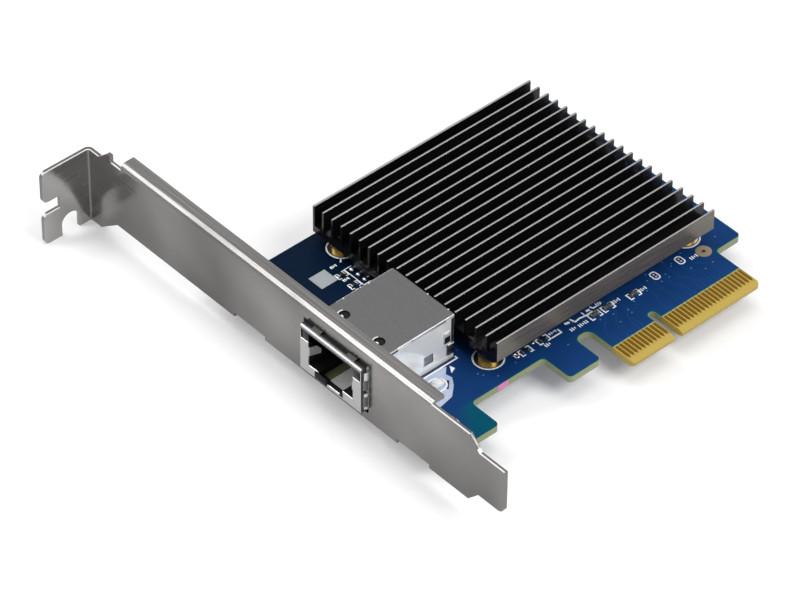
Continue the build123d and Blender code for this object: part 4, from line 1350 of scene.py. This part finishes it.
    def underside_marks(self) -> list[Patch]:
        """Marks of the solder side: outlines of four places, two small parts and dashes.

        Returns:
            The printed lines, as they would lie on the component side.
        """
        frames = ((4.0, 48.0, 17.0, 17.0), (-18.0, 48.0, 19.0, 19.0), (-48.0, 32.8, 17.6, 18.6),
                  (12.0, 30.0, 6.4, 7.4))
        shapes = [self.mark(rectangle(*sizes), closed=True) for sizes in frames]
        for y in (40.0, 36.0):
            shapes += self.part_mark(26.0, y)
        for x, y, count in ((8.9, 25.2, 6), (-27.0, 59.2, 5), (-4.0, 58.0, 5)):
            shapes += self.dashes(x, y, count)
        return shapes

    def printing(self) -> None:
        """White epoxy ink on both faces, with a ring at each fastener, and the blank label place."""
        ring = self.mark(arc(0, 0, 3.07, 0, 351, 40), closed=True)
        rings = [moved(ring, *place) for place in FASTENERS]
        above = join(rings + self.rear_marks() + self.front_marks())
        below = self.on(Face.SOLDER, join(self.underside_marks() + rings))
        label = prism(rectangle(-40.9, 57.15, 4.1, 4.0), 0, self.ink)
        build_piece("Printed_marks", [(above, WHITE_INK), (label, PALE_INK), (below, WHITE_INK)])

    def ground_pad(self) -> None:
        """Bare tinned ground copper beside the jack, with one slot in it; its blue is a painted
        reflection.
        """
        outline = [(-50.0, 23.3), (-40.9, 23.3), (-39.7, 22.9), (-40.4, 22.2), (-41.2, 21.45),
                   (-40.85, 20.0), (-42.1, 18.2), (-44.4, 16.1), (-45.9, 15.8), (-48.7, 15.3),
                   (-50.0, 16.6)]
        pad = prism(outline, 0.0, self.copper * 1.8)
        slot = line([(-42.0, 19.9), (-43.7, 18.2)], 0.5, 0.0, self.copper * 2.4)
        # A strip along the jack's foot, painted nearly black as painted shade.
        strip = prism(rectangle(-46.4, 23.775, 19.0, 0.65), 0.0, self.copper * 1.6)
        build_piece("Ground_pad", [(pad, TINNED_GROUND_REFLECTION), (slot, MASK_ON_COPPER),
                                   (strip, MASK_PAINTED_SHADE)])

    def solder(self) -> None:
        """Solder joints: mounds at the small regulator, cones on the jack's pins and legs below."""
        mound, blob = dome(0.55, 0.42, 14), dome(0.42, 0.3, 12)
        shapes = [moved(mound, x, y) for x, y in ((-34.85, 55.6), (-34.8, 53.7), (-34.8, 51.8))]
        shapes += [moved(blob, x, y) for x, y in ((-27.6, 16.9), (-27.6, 15.9), (-22.8, 16.9))]
        pads = [prism(rectangle(x, y, 0.42, 0.36), 0.0, 0.06) for x in self.twins
                for y in (14.75, 15.45)]
        joint = turned([(0.8, 0.0), (0.62, -0.1), (0.5, -0.32), (0.42, -0.62), (0.36, -0.86),
                        (0.3, -1.0), (0.05, -1.02)], 14)
        wide = Patch(joint.points * np.array([1.35, 0.85, 1.0]), joint.quads)
        pins = bodies("jack_pins").mean(axis=1)
        shapes += [moved(joint, float(x), float(y), -self.thickness) for x, y in pins[:, :2]]
        shapes += [moved(wide, x, y, -self.thickness) for x in (-50.0, -41.0) for y in (24.28, 41.38)]
        build_piece("Solder_joints", [(join(shapes), TIN), (join(pads), WHITE_TIN_AND_PAINTED_LIGHT)])

    def underside_label(self) -> None:
        """Blank paper label on the solder side."""
        paper = prism(rectangle(-15.0, 28.5, 22.0, 9.0), 0.0, 0.08)
        build_piece("Blank_label", [(self.on(Face.SOLDER, paper), LABEL_PAPER)])


@dataclass
class Bracket:
    """Steel bracket of the slot, with the two screws that hold the board.

    Args:
        rounding: width of the rounded edges.
        face_x: outer face of the plate.
        inner_x: X past which a level face belongs to the flange.
        flange_start: Y at which the long flange starts.
        flange_end: Y at which it ends.
        tab_start: Y past which a face belongs to the screw tab.
        seat: Y of the tab's outer rim.
        head: diameter of a head.
        height: height of a head.
    """

    rounding: float = 0.14
    face_x: float = BRACKET_FACE
    inner_x: float = -58.1
    flange_start: float = 6.3
    flange_end: float = 96.3
    tab_start: float = 106.0
    seat: float = 106.5
    head: float = 5.2
    height: float = 1.3

    def build(self) -> None:
        """Make the bracket's pieces."""
        self.plate()
        self.rims()
        self.screws()

    def plate(self) -> None:
        """Folded sheet, with lighter finishes of their own, as painted light, on the flange and the
        tab's inner side.
        """
        piece = refined_copy("Bracket_plate", "bracket", BRACKET_STEEL, self.rounding)
        centres, normals = face_values(piece)
        x, y = centres[:, 0], centres[:, 1]
        flange = (x > self.inner_x) & (y > self.flange_start) & (y < self.flange_end)
        finish_faces(piece, FLANGE_STEEL_PAINTED_LIGHT, flange & (normals[:, 2] > 0.95))
        finish_faces(piece, TAB_STEEL_PAINTED_LIGHT, (normals[:, 1] < -0.95) & (y > self.tab_start))

    def screws(self) -> None:
        """Pan heads with a cross recess, on threaded shanks."""
        thread_start, pitch, tip = -2.45, 0.125, -3.6
        end = [(1.2, tip), (0.02, tip)]
        head = cross_recess_head(self.head / 2, self.height, 0.7, 1.6, 0.62, 0.8)
        shank = turned([(1.45, 0.0), (1.45, -3.35), *end], 20)
        ridges = [(1.40 + 0.06 * (i % 2), thread_start - pitch * i) for i in range(9)]
        tail = turned([*ridges, *end], 20)
        shapes = [moved(join([head, shank, tail]), *place) for place in LUGS]
        build_piece("Bracket_pan_heads", [(join(shapes), SCREW_STEEL)],
                    ("bracket_screws",))

    def rims(self) -> None:
        """Bright lines along the outer edges of the sheet, where the shear polished it, painted near
        white as painted highlights.

        Each run is given by its section and its places along Y and Z. The section is full where
        the shear polished the sheet's whole thickness, and outer where it polished its rim.
        """
        outer, full = box_section(0.06, 0.02, 0.36), box_section(0.06, 0.02, 0.84)
        runs = ((outer, (6.2, 14.1), (0.0, 14.1), (-4.2, 14.1)),
                (full, (-4.2, 14.1), (-5.6, 12.55), (-7.0, 11.1)),
                (outer, (-7.0, 11.1), (-10.0, 11.1), (-13.7, 11.1)),
                (outer, (103.3, 12.07), (101.9, 13.3), (100.7, 14.38)),
                (full, (100.5, 14.46), (100.0, 14.46), (99.65, 14.46)),
                (outer, (99.5, 12.8), (98.0, 12.8), (96.5, 12.8)))
        shapes = [carried([(self.face_x, y, z) for y, z in run], section, up=(1, 0, 0))
                  for section, *run in runs]
        seat, bend = self.seat, self.face_x + 0.1
        route = [(-69.6, seat), (-59.6, seat), (-59.2, seat - 0.12), (bend, seat - 0.5), (bend, 103.3)]
        for points, low, high in ((route, 12.0, 12.1), ([(-70.6, seat), (-66.7, seat)], 1.15, 1.23),
                                  ([(-70.1, seat), (-69.5, seat)], 11.9, 12.08)):
            shapes.append(line(points, 0.22, low, high))
        build_piece("Bracket_rims", [(join(shapes), SHEARED_EDGE_HIGHLIGHT)])


@dataclass
class NetworkJack:
    """Shielded network jack: drawn shield, moulded body, two indicators and spring contacts.

    Args:
        front: X of the front face.
        rear: X of the rear face.
        centre: Y of the middle.
        half_width: half of the outer width.
        height: outer height.
        mouth_half: half of the mouth's width.
        mouth_low: height of the mouth's floor.
        latch_half: half of the latch channel's width.
        latch_low: height of the channel's floor.
        rounding: width of the rounded edges of the shield.
        face_x: outer face of the bracket.
    """

    front: float = -60.4
    rear: float = -36.75
    centre: float = 32.83
    half_width: float = 8.675
    height: float = 11.07
    mouth_half: float = 6.35
    mouth_low: float = 2.1
    latch_half: float = 3.4
    latch_low: float = 0.75
    rounding: float = 0.07
    face_x: float = BRACKET_FACE

    def build(self) -> None:
        """Make the jack's pieces."""
        self.shell()
        self.dimples()
        self.seams()
        self.rear_latches()
        self.windows()
        self.springs()
        self.mouth()
        self.edges()
        self.lenses()
        refined_copy("Jack_body", "jack_housing", BLACK_NYLON, bevel=0.06)
        finish_nodes(GOLD, "jack_contacts")
        finish_nodes(TIN, "jack_pins")
        finish_nodes(BLACK_EPOXY, "jack_module")

    def side(self, sign: int, proud: float = 0.0) -> float:
        """Y of the shield's side wall, sign -1 for the low side, moved outwards by proud."""
        return self.centre + sign * (self.half_width + proud)

    def plate(self, sign: int, x0: float, x1: float, z0: float, z1: float, thick: float,
              proud: float = 0.0) -> Patch:
        """Thin rounded plate on a side wall, between two places along X and two along Z."""
        y0, y1 = sorted((self.side(sign, proud - 0.02), self.side(sign, proud + thick)))
        return brick((x0, y0, z0), (x1, y1, z1), min(0.05, thick / 2.2))

    def plates(self, finish: Finish, *rows: tuple[float, ...]) -> list[tuple[Patch, Finish]]:
        """Plates that both side walls have: each row holds a plate's numbers after the sign."""
        return [(self.plate(sign, *row), finish) for sign in (-1, 1) for row in rows]

    def shell(self) -> None:
        """Drawn shield: satin on top, painted brighter at the sides and darker ahead of the bracket."""
        piece = refined_copy("Jack_shell", "jack_shield", SHIELD_STEEL, self.rounding)
        cut_faces(piece, self.face_x, axis=0)
        centres, normals = face_values(piece)
        x, z, out = centres[:, 0], centres[:, 2], np.abs(centres[:, 1] - self.centre)
        # Painted light: the outer sides are painted nearly white.
        finish_faces(piece, SHIELD_SIDE_PAINTED_LIGHT, (out > self.half_width - 0.05)
                     & (np.abs(normals[:, 1]) > 0.9) & (x > self.face_x))
        # Painted shade: the top ahead of the bracket, and below it the front face, are painted dark.
        finish_faces(piece, SHIELD_SHADE, (z > self.height - 0.02) & (normals[:, 2] > 0.2)
                     & (x > self.front + 0.55) & (x < self.face_x + 1.0))
        finish_faces(piece, SHIELD_FRONT, (normals[:, 0] < -0.9) & (x < self.front + 0.2))
        # Painted light: the tongues in the mouth are painted a lighter grey.
        finish_faces(piece, TONGUE_TIN_PAINTED_LIGHT, (out < self.mouth_half + 0.3) & (x < self.front + 2.6)
                     & (z > 4.3) & (z < 6.6))

    def dimples(self) -> None:
        """Two drawn cups in the round holes of the roof, each with a nub in it.

        Each cup's depth follows a quarter circle from its rim to its floor, and the nub is half
        an ellipse turned about its axis. The cups' floors are painted black as painted shade, and
        the nub and a crescent on the sheared rim are painted near white as painted highlights.
        """
        depth = 0.95
        share = np.linspace(0, math.pi / 2, 7)
        wall = np.column_stack([1.21 - 0.2 * np.sin(share), -depth * (1 - np.cos(share))])
        floor = [(0.01, -depth), (0.01, -depth - 0.1), (1.27, -depth - 0.1), (1.27, -0.02)]
        cup = turned(np.concatenate([wall, floor]), 28, closed=True)
        nub = dome(0.45, 0.42, 16, low=-0.4, levels=7)
        crescent = line(arc(0, 0, 1.3, 60, 235, 24), 0.26, -0.1, 0.035)
        cups, bright = [], []
        for side in (-1, 1):
            x, y, z = self.front + 7.9, self.centre + side * 5.0, self.height
            cups.append(moved(cup, x, y, z - 0.01))
            bright += [moved(nub, x - 0.55, y + 0.15, z + 0.02), moved(crescent, x, y, z)]
        build_piece("Jack_cups", [(join(cups), CUP_SHADE), (join(bright), HIGHLIGHT_EDGE)],
                    smooth=50.0)

    def seams(self) -> None:
        """Folded rim of the roof along both sides, between and beyond the dark slots.

        The rim was bent well over the low side, and pressed nearly flat on the high one. Burrs
        of the shear stand on the roof's rear and far edges. Rims and burrs are painted near white
        as painted highlights.
        """
        parts = self.plates(HIGHLIGHT_EDGE, (-47.6, -40.95, 10.20, 10.46, 0.14),
                            (-51.0, -47.7, 10.2, 10.42, 0.10), (-40.9, -38.8, 10.18, 10.38, 0.10))
        for sign, over in ((-1, 0.2), (1, 0.04)):
            top = 11.06 + over * 0.4
            for x0, x1, low, thick in ((-47.6, -38.8, 10.80, over), (-38.8, -36.85, 10.6, over * 0.8),
                                       (-51.4, -47.7, 10.80, over)):
                parts.append((self.plate(sign, x0, x1, low, top, thick), HIGHLIGHT_EDGE))
        far = self.side(1) - 0.1
        for x, y in ((self.rear + 0.1, 31.7), (self.rear + 0.1, 25.9), (-49.5, far), (-43.0, far)):
            burr = brick((x - 0.22, y - 0.22, 10.9), (x + 0.05, y + 0.1, 11.12), 0.06)
            parts.append((burr, HIGHLIGHT_EDGE))
        parts += self.plates(BLACK_NYLON, (-40.9, -38.9, 10.4, 10.86, 0.03))
        parts += self.plates(SHIELD_STEEL, (-47.5, -40.95, 10.46, 10.80, 0.06))
        build_piece("Jack_seams", parts)

    def rear_latches(self) -> None:
        """Flaps of the rear cover that lock into the sides: an upper one with a tooth, a lower one."""
        # The flaps' bright plates are painted near white as painted highlights.
        bright = self.plates(HIGHLIGHT_EDGE, (-39.5, -39.15, 4.6, 7.5, 0.10),
                             (-39.1, -37.75, 6.3, 7.4, 0.16), (-39.5, -37.6, 4.15, 4.55, 0.12),
                             (-38.3, -36.8, 3.75, 4.0, 0.2))
        dark = self.plates(BLACK_NYLON, (-39.45, -37.65, 4.5, 7.3, 0.02),
                           (-38.6, -38.35, 1.2, 3.9, 0.02))
        flaps = self.plates(SHIELD_STEEL, (-38.3, -36.8, 1.2, 3.75, 0.16),
                            (-37.5, -36.8, 4.0, 10.3, 0.03))
        build_piece("Jack_latches", bright + dark + flaps)

    def windows(self) -> None:
        """Catch of the moulded body behind each side window, with a nub and a sheared rim."""
        catches = self.plates(CATCH_GREY, (-44.4, -42.0, 1.95, 4.25, 0.06, -0.2),
                              (-44.0, -42.3, 3.3, 3.9, 0.12, -0.14))
        # The windows' rims are painted near white as painted highlights.
        rims = self.plates(HIGHLIGHT_EDGE, (-44.45, -41.95, 1.86, 2.02, 0.04),
                           (-44.45, -44.3, 1.9, 4.2, 0.04))
        build_piece("Jack_catches", catches + rims)

    def springs(self) -> None:
        """Bowed fingers that press on the cut-out of the bracket.

        Each finger is a strip carried along an arc: at share s of its length it stands out by
        the bow times the sine of a half turn times s.
        """
        bow, length = 0.34, 2.3
        share = np.linspace(0, 1, 13)
        shapes = []
        for sign in (-1, 1):
            for low, high in ((0.5, 4.5), (5.5, 9.8)):
                half = (high - low) / 2
                y = self.side(sign) + sign * bow * np.sin(math.pi * share)
                path = np.column_stack([self.front + 0.75 + length * share, y,
                                        np.full(share.size, low + half)])
                shapes.append(carried(path, box_section(0.12, -half, half)))
        # The fingers are painted near white as painted highlights.
        build_piece("Jack_side_springs", [(join(shapes), HIGHLIGHT_EDGE)], smooth=50.0)

    def mouth(self) -> None:
        """Floor of the latch channel, its insulating film, and the stops at its front."""
        low, end, z = self.centre - self.latch_half, -46.2, self.latch_low - 0.01
        seam = low + 4.7
        # The channel floor is tin, painted near white partly as painted light.
        floor = prism([(-59.3, low + 0.05), (end, low + 0.05), (end, seam), (-59.3, seam)], z, z + 0.06)
        film = prism([(-59.1, seam), (end, seam), (end, seam + 2), (-59.1, seam + 2)], z, z + 0.05)
        x = self.front + 0.2
        stops = [brick((self.front - 0.3, 33.7, 0.25), (x, 37.2, 1.9), 0.24, 5),
                 brick((self.front - 0.12, 29.35, 0.35), (x, 30.2, 1.5), 0.1, 4)]
        build_piece("Latch_stops", [(join(stops), BLACK_NYLON)])
        build_piece("Mouth_floor", [(floor, WHITE_TIN_AND_PAINTED_LIGHT), (film, OLIVE_FILM)])

    def edges(self) -> None:
        """Sheared edges of the mouth, painted near white as painted highlights, and the rolled lip over
        it.
        """
        low, middle, inner, outer = -self.latch_half, self.centre, self.mouth_half, self.half_width
        rows = ((-inner, low - 0.1, self.mouth_low), (low + 0.6, low + 4.4, self.latch_low),
                (0.3 - low, inner - 0.3, self.mouth_low), (0.3 - outer, -inner, 7.8),
                (inner, outer - 0.3, 7.8))
        bars = [(self.front + 0.02, a, b, z - 0.07, round_section(0.2, 8)) for a, b, z in rows]
        bars.append((self.front + 0.42, 0.1 - outer, outer - 0.1, self.height - 0.45,
                     round_section(0.92, 20)))
        shapes = [carried([(x, middle + y, z) for y in (a, (a + b) / 2, b)], section)
                  for x, a, b, z, section in bars]
        build_piece("Mouth_edges", [(join(shapes[:-1]), HIGHLIGHT_EDGE), (shapes[-1], ROLLED_LIP)])

    def lenses(self) -> None:
        """Front of each light lens, slightly domed: a rounded brick ahead of the clear block."""
        finish_nodes(CLEAR_LENS, "light_lenses")
        finish_nodes(WHITE_LAMP, "light_diodes")
        shapes = [brick((self.front + 0.06, low[1] + 0.05, low[2] + 0.1),
                        (self.front + 0.3, high[1] - 0.05, high[2] - 0.05), 0.1)
                  for low, high in bodies("light_lenses")]
        build_piece("Lens_fronts", [(join(shapes), CLEAR_LENS)])


@dataclass
class HeatSink:
    """Finned heat sink with its barrels, screws and thermal pads.

    Args:
        left: X of the left end.
        right: X of the right end.
        top: height of the fins.
        thick: thickness of a fin.
        fins: centres of the fins: seven wide-spaced, then thirteen closer.
        underside: height of the board's solder side.
        base: height above which a barrel stands in the heat sink.
    """

    left: float = -34.6
    right: float = 23.2
    top: float = 8.7
    thick: float = 0.5
    fins: tuple[float, ...] = tuple([14.6 + 2.92 * i for i in range(7)]
                                    + [32.12 + 2.69 * i for i in range(1, 14)])
    underside: float = -BOARD_THICKNESS
    base: float = 2.0

    def build(self) -> None:
        """Make the heat sink's pieces."""
        self.extrusion()
        self.milled_tops()
        self.barrels()
        self.screws()
        finish_nodes(GREY_PAD, "thermal_pads")

    def extrusion(self) -> None:
        """Anodised extrusion: black between the fins, brushed on its outer side, sawn at the ends."""
        piece = refined_copy("Fins", "heat_sink", BLACK_ALUMINIUM, bevel=0.0)
        centres, normals = face_values(piece)
        # Painted light: the outer side is painted a lighter warm grey.
        outer = (normals[:, 1] < -0.5) & (centres[:, 1] < self.fins[0] + 1.2)
        finish_faces(piece, OUTER_ALUMINIUM_PAINTED_LIGHT, outer)
        finish_faces(piece, SAWN_ALUMINIUM, normals[:, 0] > 0.5)

    def barrels(self) -> None:
        """Brass barrels under the base, painted dark as painted shade, with their riveted ends painted
        black too.
        """
        piece = refined_copy("Barrels", "heat_sink_barrels", TURNED_BRASS_PAINTED_SHADE, bevel=0.0)
        centres, normals = face_values(piece)
        # Painted shade: the barrels' upper ends among the fins are painted near black.
        finish_faces(piece, RIVET_ENDS_PAINTED_SHADE, (normals[:, 2] > 0.9) & (centres[:, 2] > self.base))

    def milled_tops(self) -> None:
        """Bare milled line along the top of each fin, narrower than the fin by its black rims."""
        half = (self.thick - 0.16) / 2
        shapes = [brick((self.left + 0.05, y - half, self.top - 0.05),
                        (self.right - 0.05, y + half, self.top + 0.015), 0.02, 2)
                  for y in self.fins]
        build_piece("Milled_tops", [(join(shapes), BARE_ALUMINIUM)])

    def screws(self) -> None:
        """Flanged screws from the solder side, with cross recesses."""
        thick = 0.4
        head = cross_recess_head(1.9, 1.2, 0.3, 1.25, 0.5, 0.6)
        shank = turned([(0.95, thick), (0.95, -3.1), (0.02, -3.17)], 16)
        whole = join([moved(head, 0, 0, thick), washer(1.0, 2.4, 0.0, thick), shank])
        shapes = [moved(mirrored_z(whole), *place, self.underside) for place in FASTENERS]
        build_piece("Flanged_screws", [(join(shapes), SCREW_STEEL)],
                    ("heat_sink_screws",))


@dataclass
class Components:
    """Chips and small parts on both faces of the board.

    Args:
        rounding: width of the rounded edges of a moulded package.
        cap: length of the tinned end of a chip capacitor or resistor.
        cap_rounding: radius of that end's edges.
        memory_y: Y of the memory chip's middle.
        memory_half: half of its body's width, past which it has tinned leads.
        regulator_x: X short of which the small regulator has tinned leads.
        underside: height of the board's solder side.
    """

    rounding: float = 0.1
    cap: float = 0.34
    cap_rounding: float = 0.07
    memory_y: float = 30.0
    memory_half: float = 1.96
    regulator_x: float = -34.01
    underside: float = -BOARD_THICKNESS

    def build(self) -> None:
        """Make the small parts."""
        self.packages()
        self.two_ended_parts()
        self.power_parts()
        self.lamp()

    def packages(self) -> None:
        """Moulded chips with tinned leads and a pin mark."""
        for node in ("controller_chip", "transceiver_chip", "voltage_regulators"):
            refined_copy(node + "_body", node, BLACK_EPOXY, self.rounding)
        memory, regulator = [refined_copy(node + "_body", node, BLACK_EPOXY, 0.05)
                             for node in ("memory_chip", "small_regulator")]
        centres, _ = face_values(memory)
        finish_faces(memory, TIN, np.abs(centres[:, 1] - self.memory_y) > self.memory_half)
        centres, _ = face_values(regulator)
        finish_faces(regulator, TIN, centres[:, 0] < self.regulator_x)
        low, _ = span("memory_chip")
        dot = turned([(0.4, 0.0), (0.4, 0.02), (0.02, 0.02)], 16)
        mark = moved(mirrored_z(dot), low[0] + 0.8, self.memory_y - 1, low[2])
        build_piece("Pin_mark", [(mark, PALE_INK)])

    def two_ended(self, low: Array, high: Array) -> list[Patch]:
        """Body and tinned ends of one chip capacitor or resistor.

        Args:
            low: lowest corner of the part on the component side.
            high: highest corner.

        Returns:
            The body, then its two ends and their solder.
        """
        inset = np.array([self.cap * 0.6, 0.025, 0.0])
        body = brick(low + inset, high - inset - np.array([0, 0, 0.025]), 0.05)
        left = brick(low, (low[0] + self.cap, high[1], high[2]), self.cap_rounding)
        right = brick((high[0] - self.cap, low[1], low[2]), high, self.cap_rounding)
        rise = (high[2] - low[2]) * 0.7
        return [body, left, right] + [fillet_of_solder(low, high, side, 0.32, rise)
                                      for side in (-1, 1)]

    def two_ended_parts(self) -> None:
        """Chip capacitors and resistors with tinned ends and solder, on both faces."""
        rows = (("Chip_capacitors", "ceramic_capacitors", CERAMIC),
                ("Chip_resistors", "chip_resistors", RESISTOR_GLAZE),
                ("Underside_capacitors", "solder_side_capacitors", CERAMIC))
        for name, node, finish in rows:
            shapes, ends = [], []
            for low, high in bodies(node):
                below = high[2] < self.underside / 2
                if below:
                    low, high = low * (1, 1, 0), high - low * (0, 0, 1)
                group = self.two_ended(low, high)
                if below:
                    group = [moved(mirrored_z(shape), 0, 0, self.underside) for shape in group]
                shapes.append(group[0])
                ends += group[1:]
            build_piece(name, [(join(shapes), finish), (join(ends), TIN)], (node,))

    def power_parts(self) -> None:
        """Inductors with tinned feet, polymer capacitors with a polarity bar, and the crystal."""
        refined_copy("Inductor_cores", "power_inductors", FERRITE, bevel=0.3)
        refined_copy("Capacitor_cases", "polymer_capacitors", CAPACITOR_CASE, 0.12)
        refined_copy("Crystal_can", "reference_crystal", TIN, bevel=0.15)
        bars, feet = [], []
        for low, high in bodies("polymer_capacitors"):
            bar = rectangle(low[0] + 0.8, (low[1] + high[1]) / 2, 1.0, high[1] - low[1] - 0.3)
            bars.append(prism(bar, high[2] - 0.01, high[2] + 0.02))
            feet += [fillet_of_solder(low, high, side, 0.5, 0.8) for side in (-1, 1)]
        reach = np.array([0.0, 1.2, 0.0])
        for low, high in bodies("power_inductors"):
            feet += [fillet_of_solder(low + reach, high - reach, side, 0.5, 0.9) for side in (-1, 1)]
        build_piece("Polarity_bars", [(join(bars), PALE_INK)])
        build_piece("Power_feet", [(join(feet), TIN)])

    def lamp(self) -> None:
        """White indicator lamp: a domed lens between two tinned ends."""
        low, high = span("indicator_lamp")
        x, y, _ = (low + high) / 2
        step = high[2] - 0.3
        body = brick(low + (0.35, 0.1, 0.0), high - (0.35, 0.1, 0.25), 0.12)
        lens = moved(dome(0.75, 0.3, 20), x, y, step)
        ends = [brick(low, (low[0] + 0.5, high[1], step), 0.08),
                brick((high[0] - 0.5, low[1], low[2]), (high[0], high[1], step), 0.08)]
        build_piece("Board_lamp", [(join([body, lens]), WHITE_LAMP), (join(ends), TIN)],
                    ("indicator_lamp",))


def main() -> None:
    """Build the card and the studio, and report each piece."""
    logging.basicConfig(level=logging.INFO, format="%(name)s %(message)s")
    Studio().build()
    for assembly in (CircuitBoard(), Bracket(), NetworkJack(), HeatSink(), Components()):
        assembly.build()
        LOG.info("%s done", type(assembly).__name__)


if __name__ == "__main__":
    main()
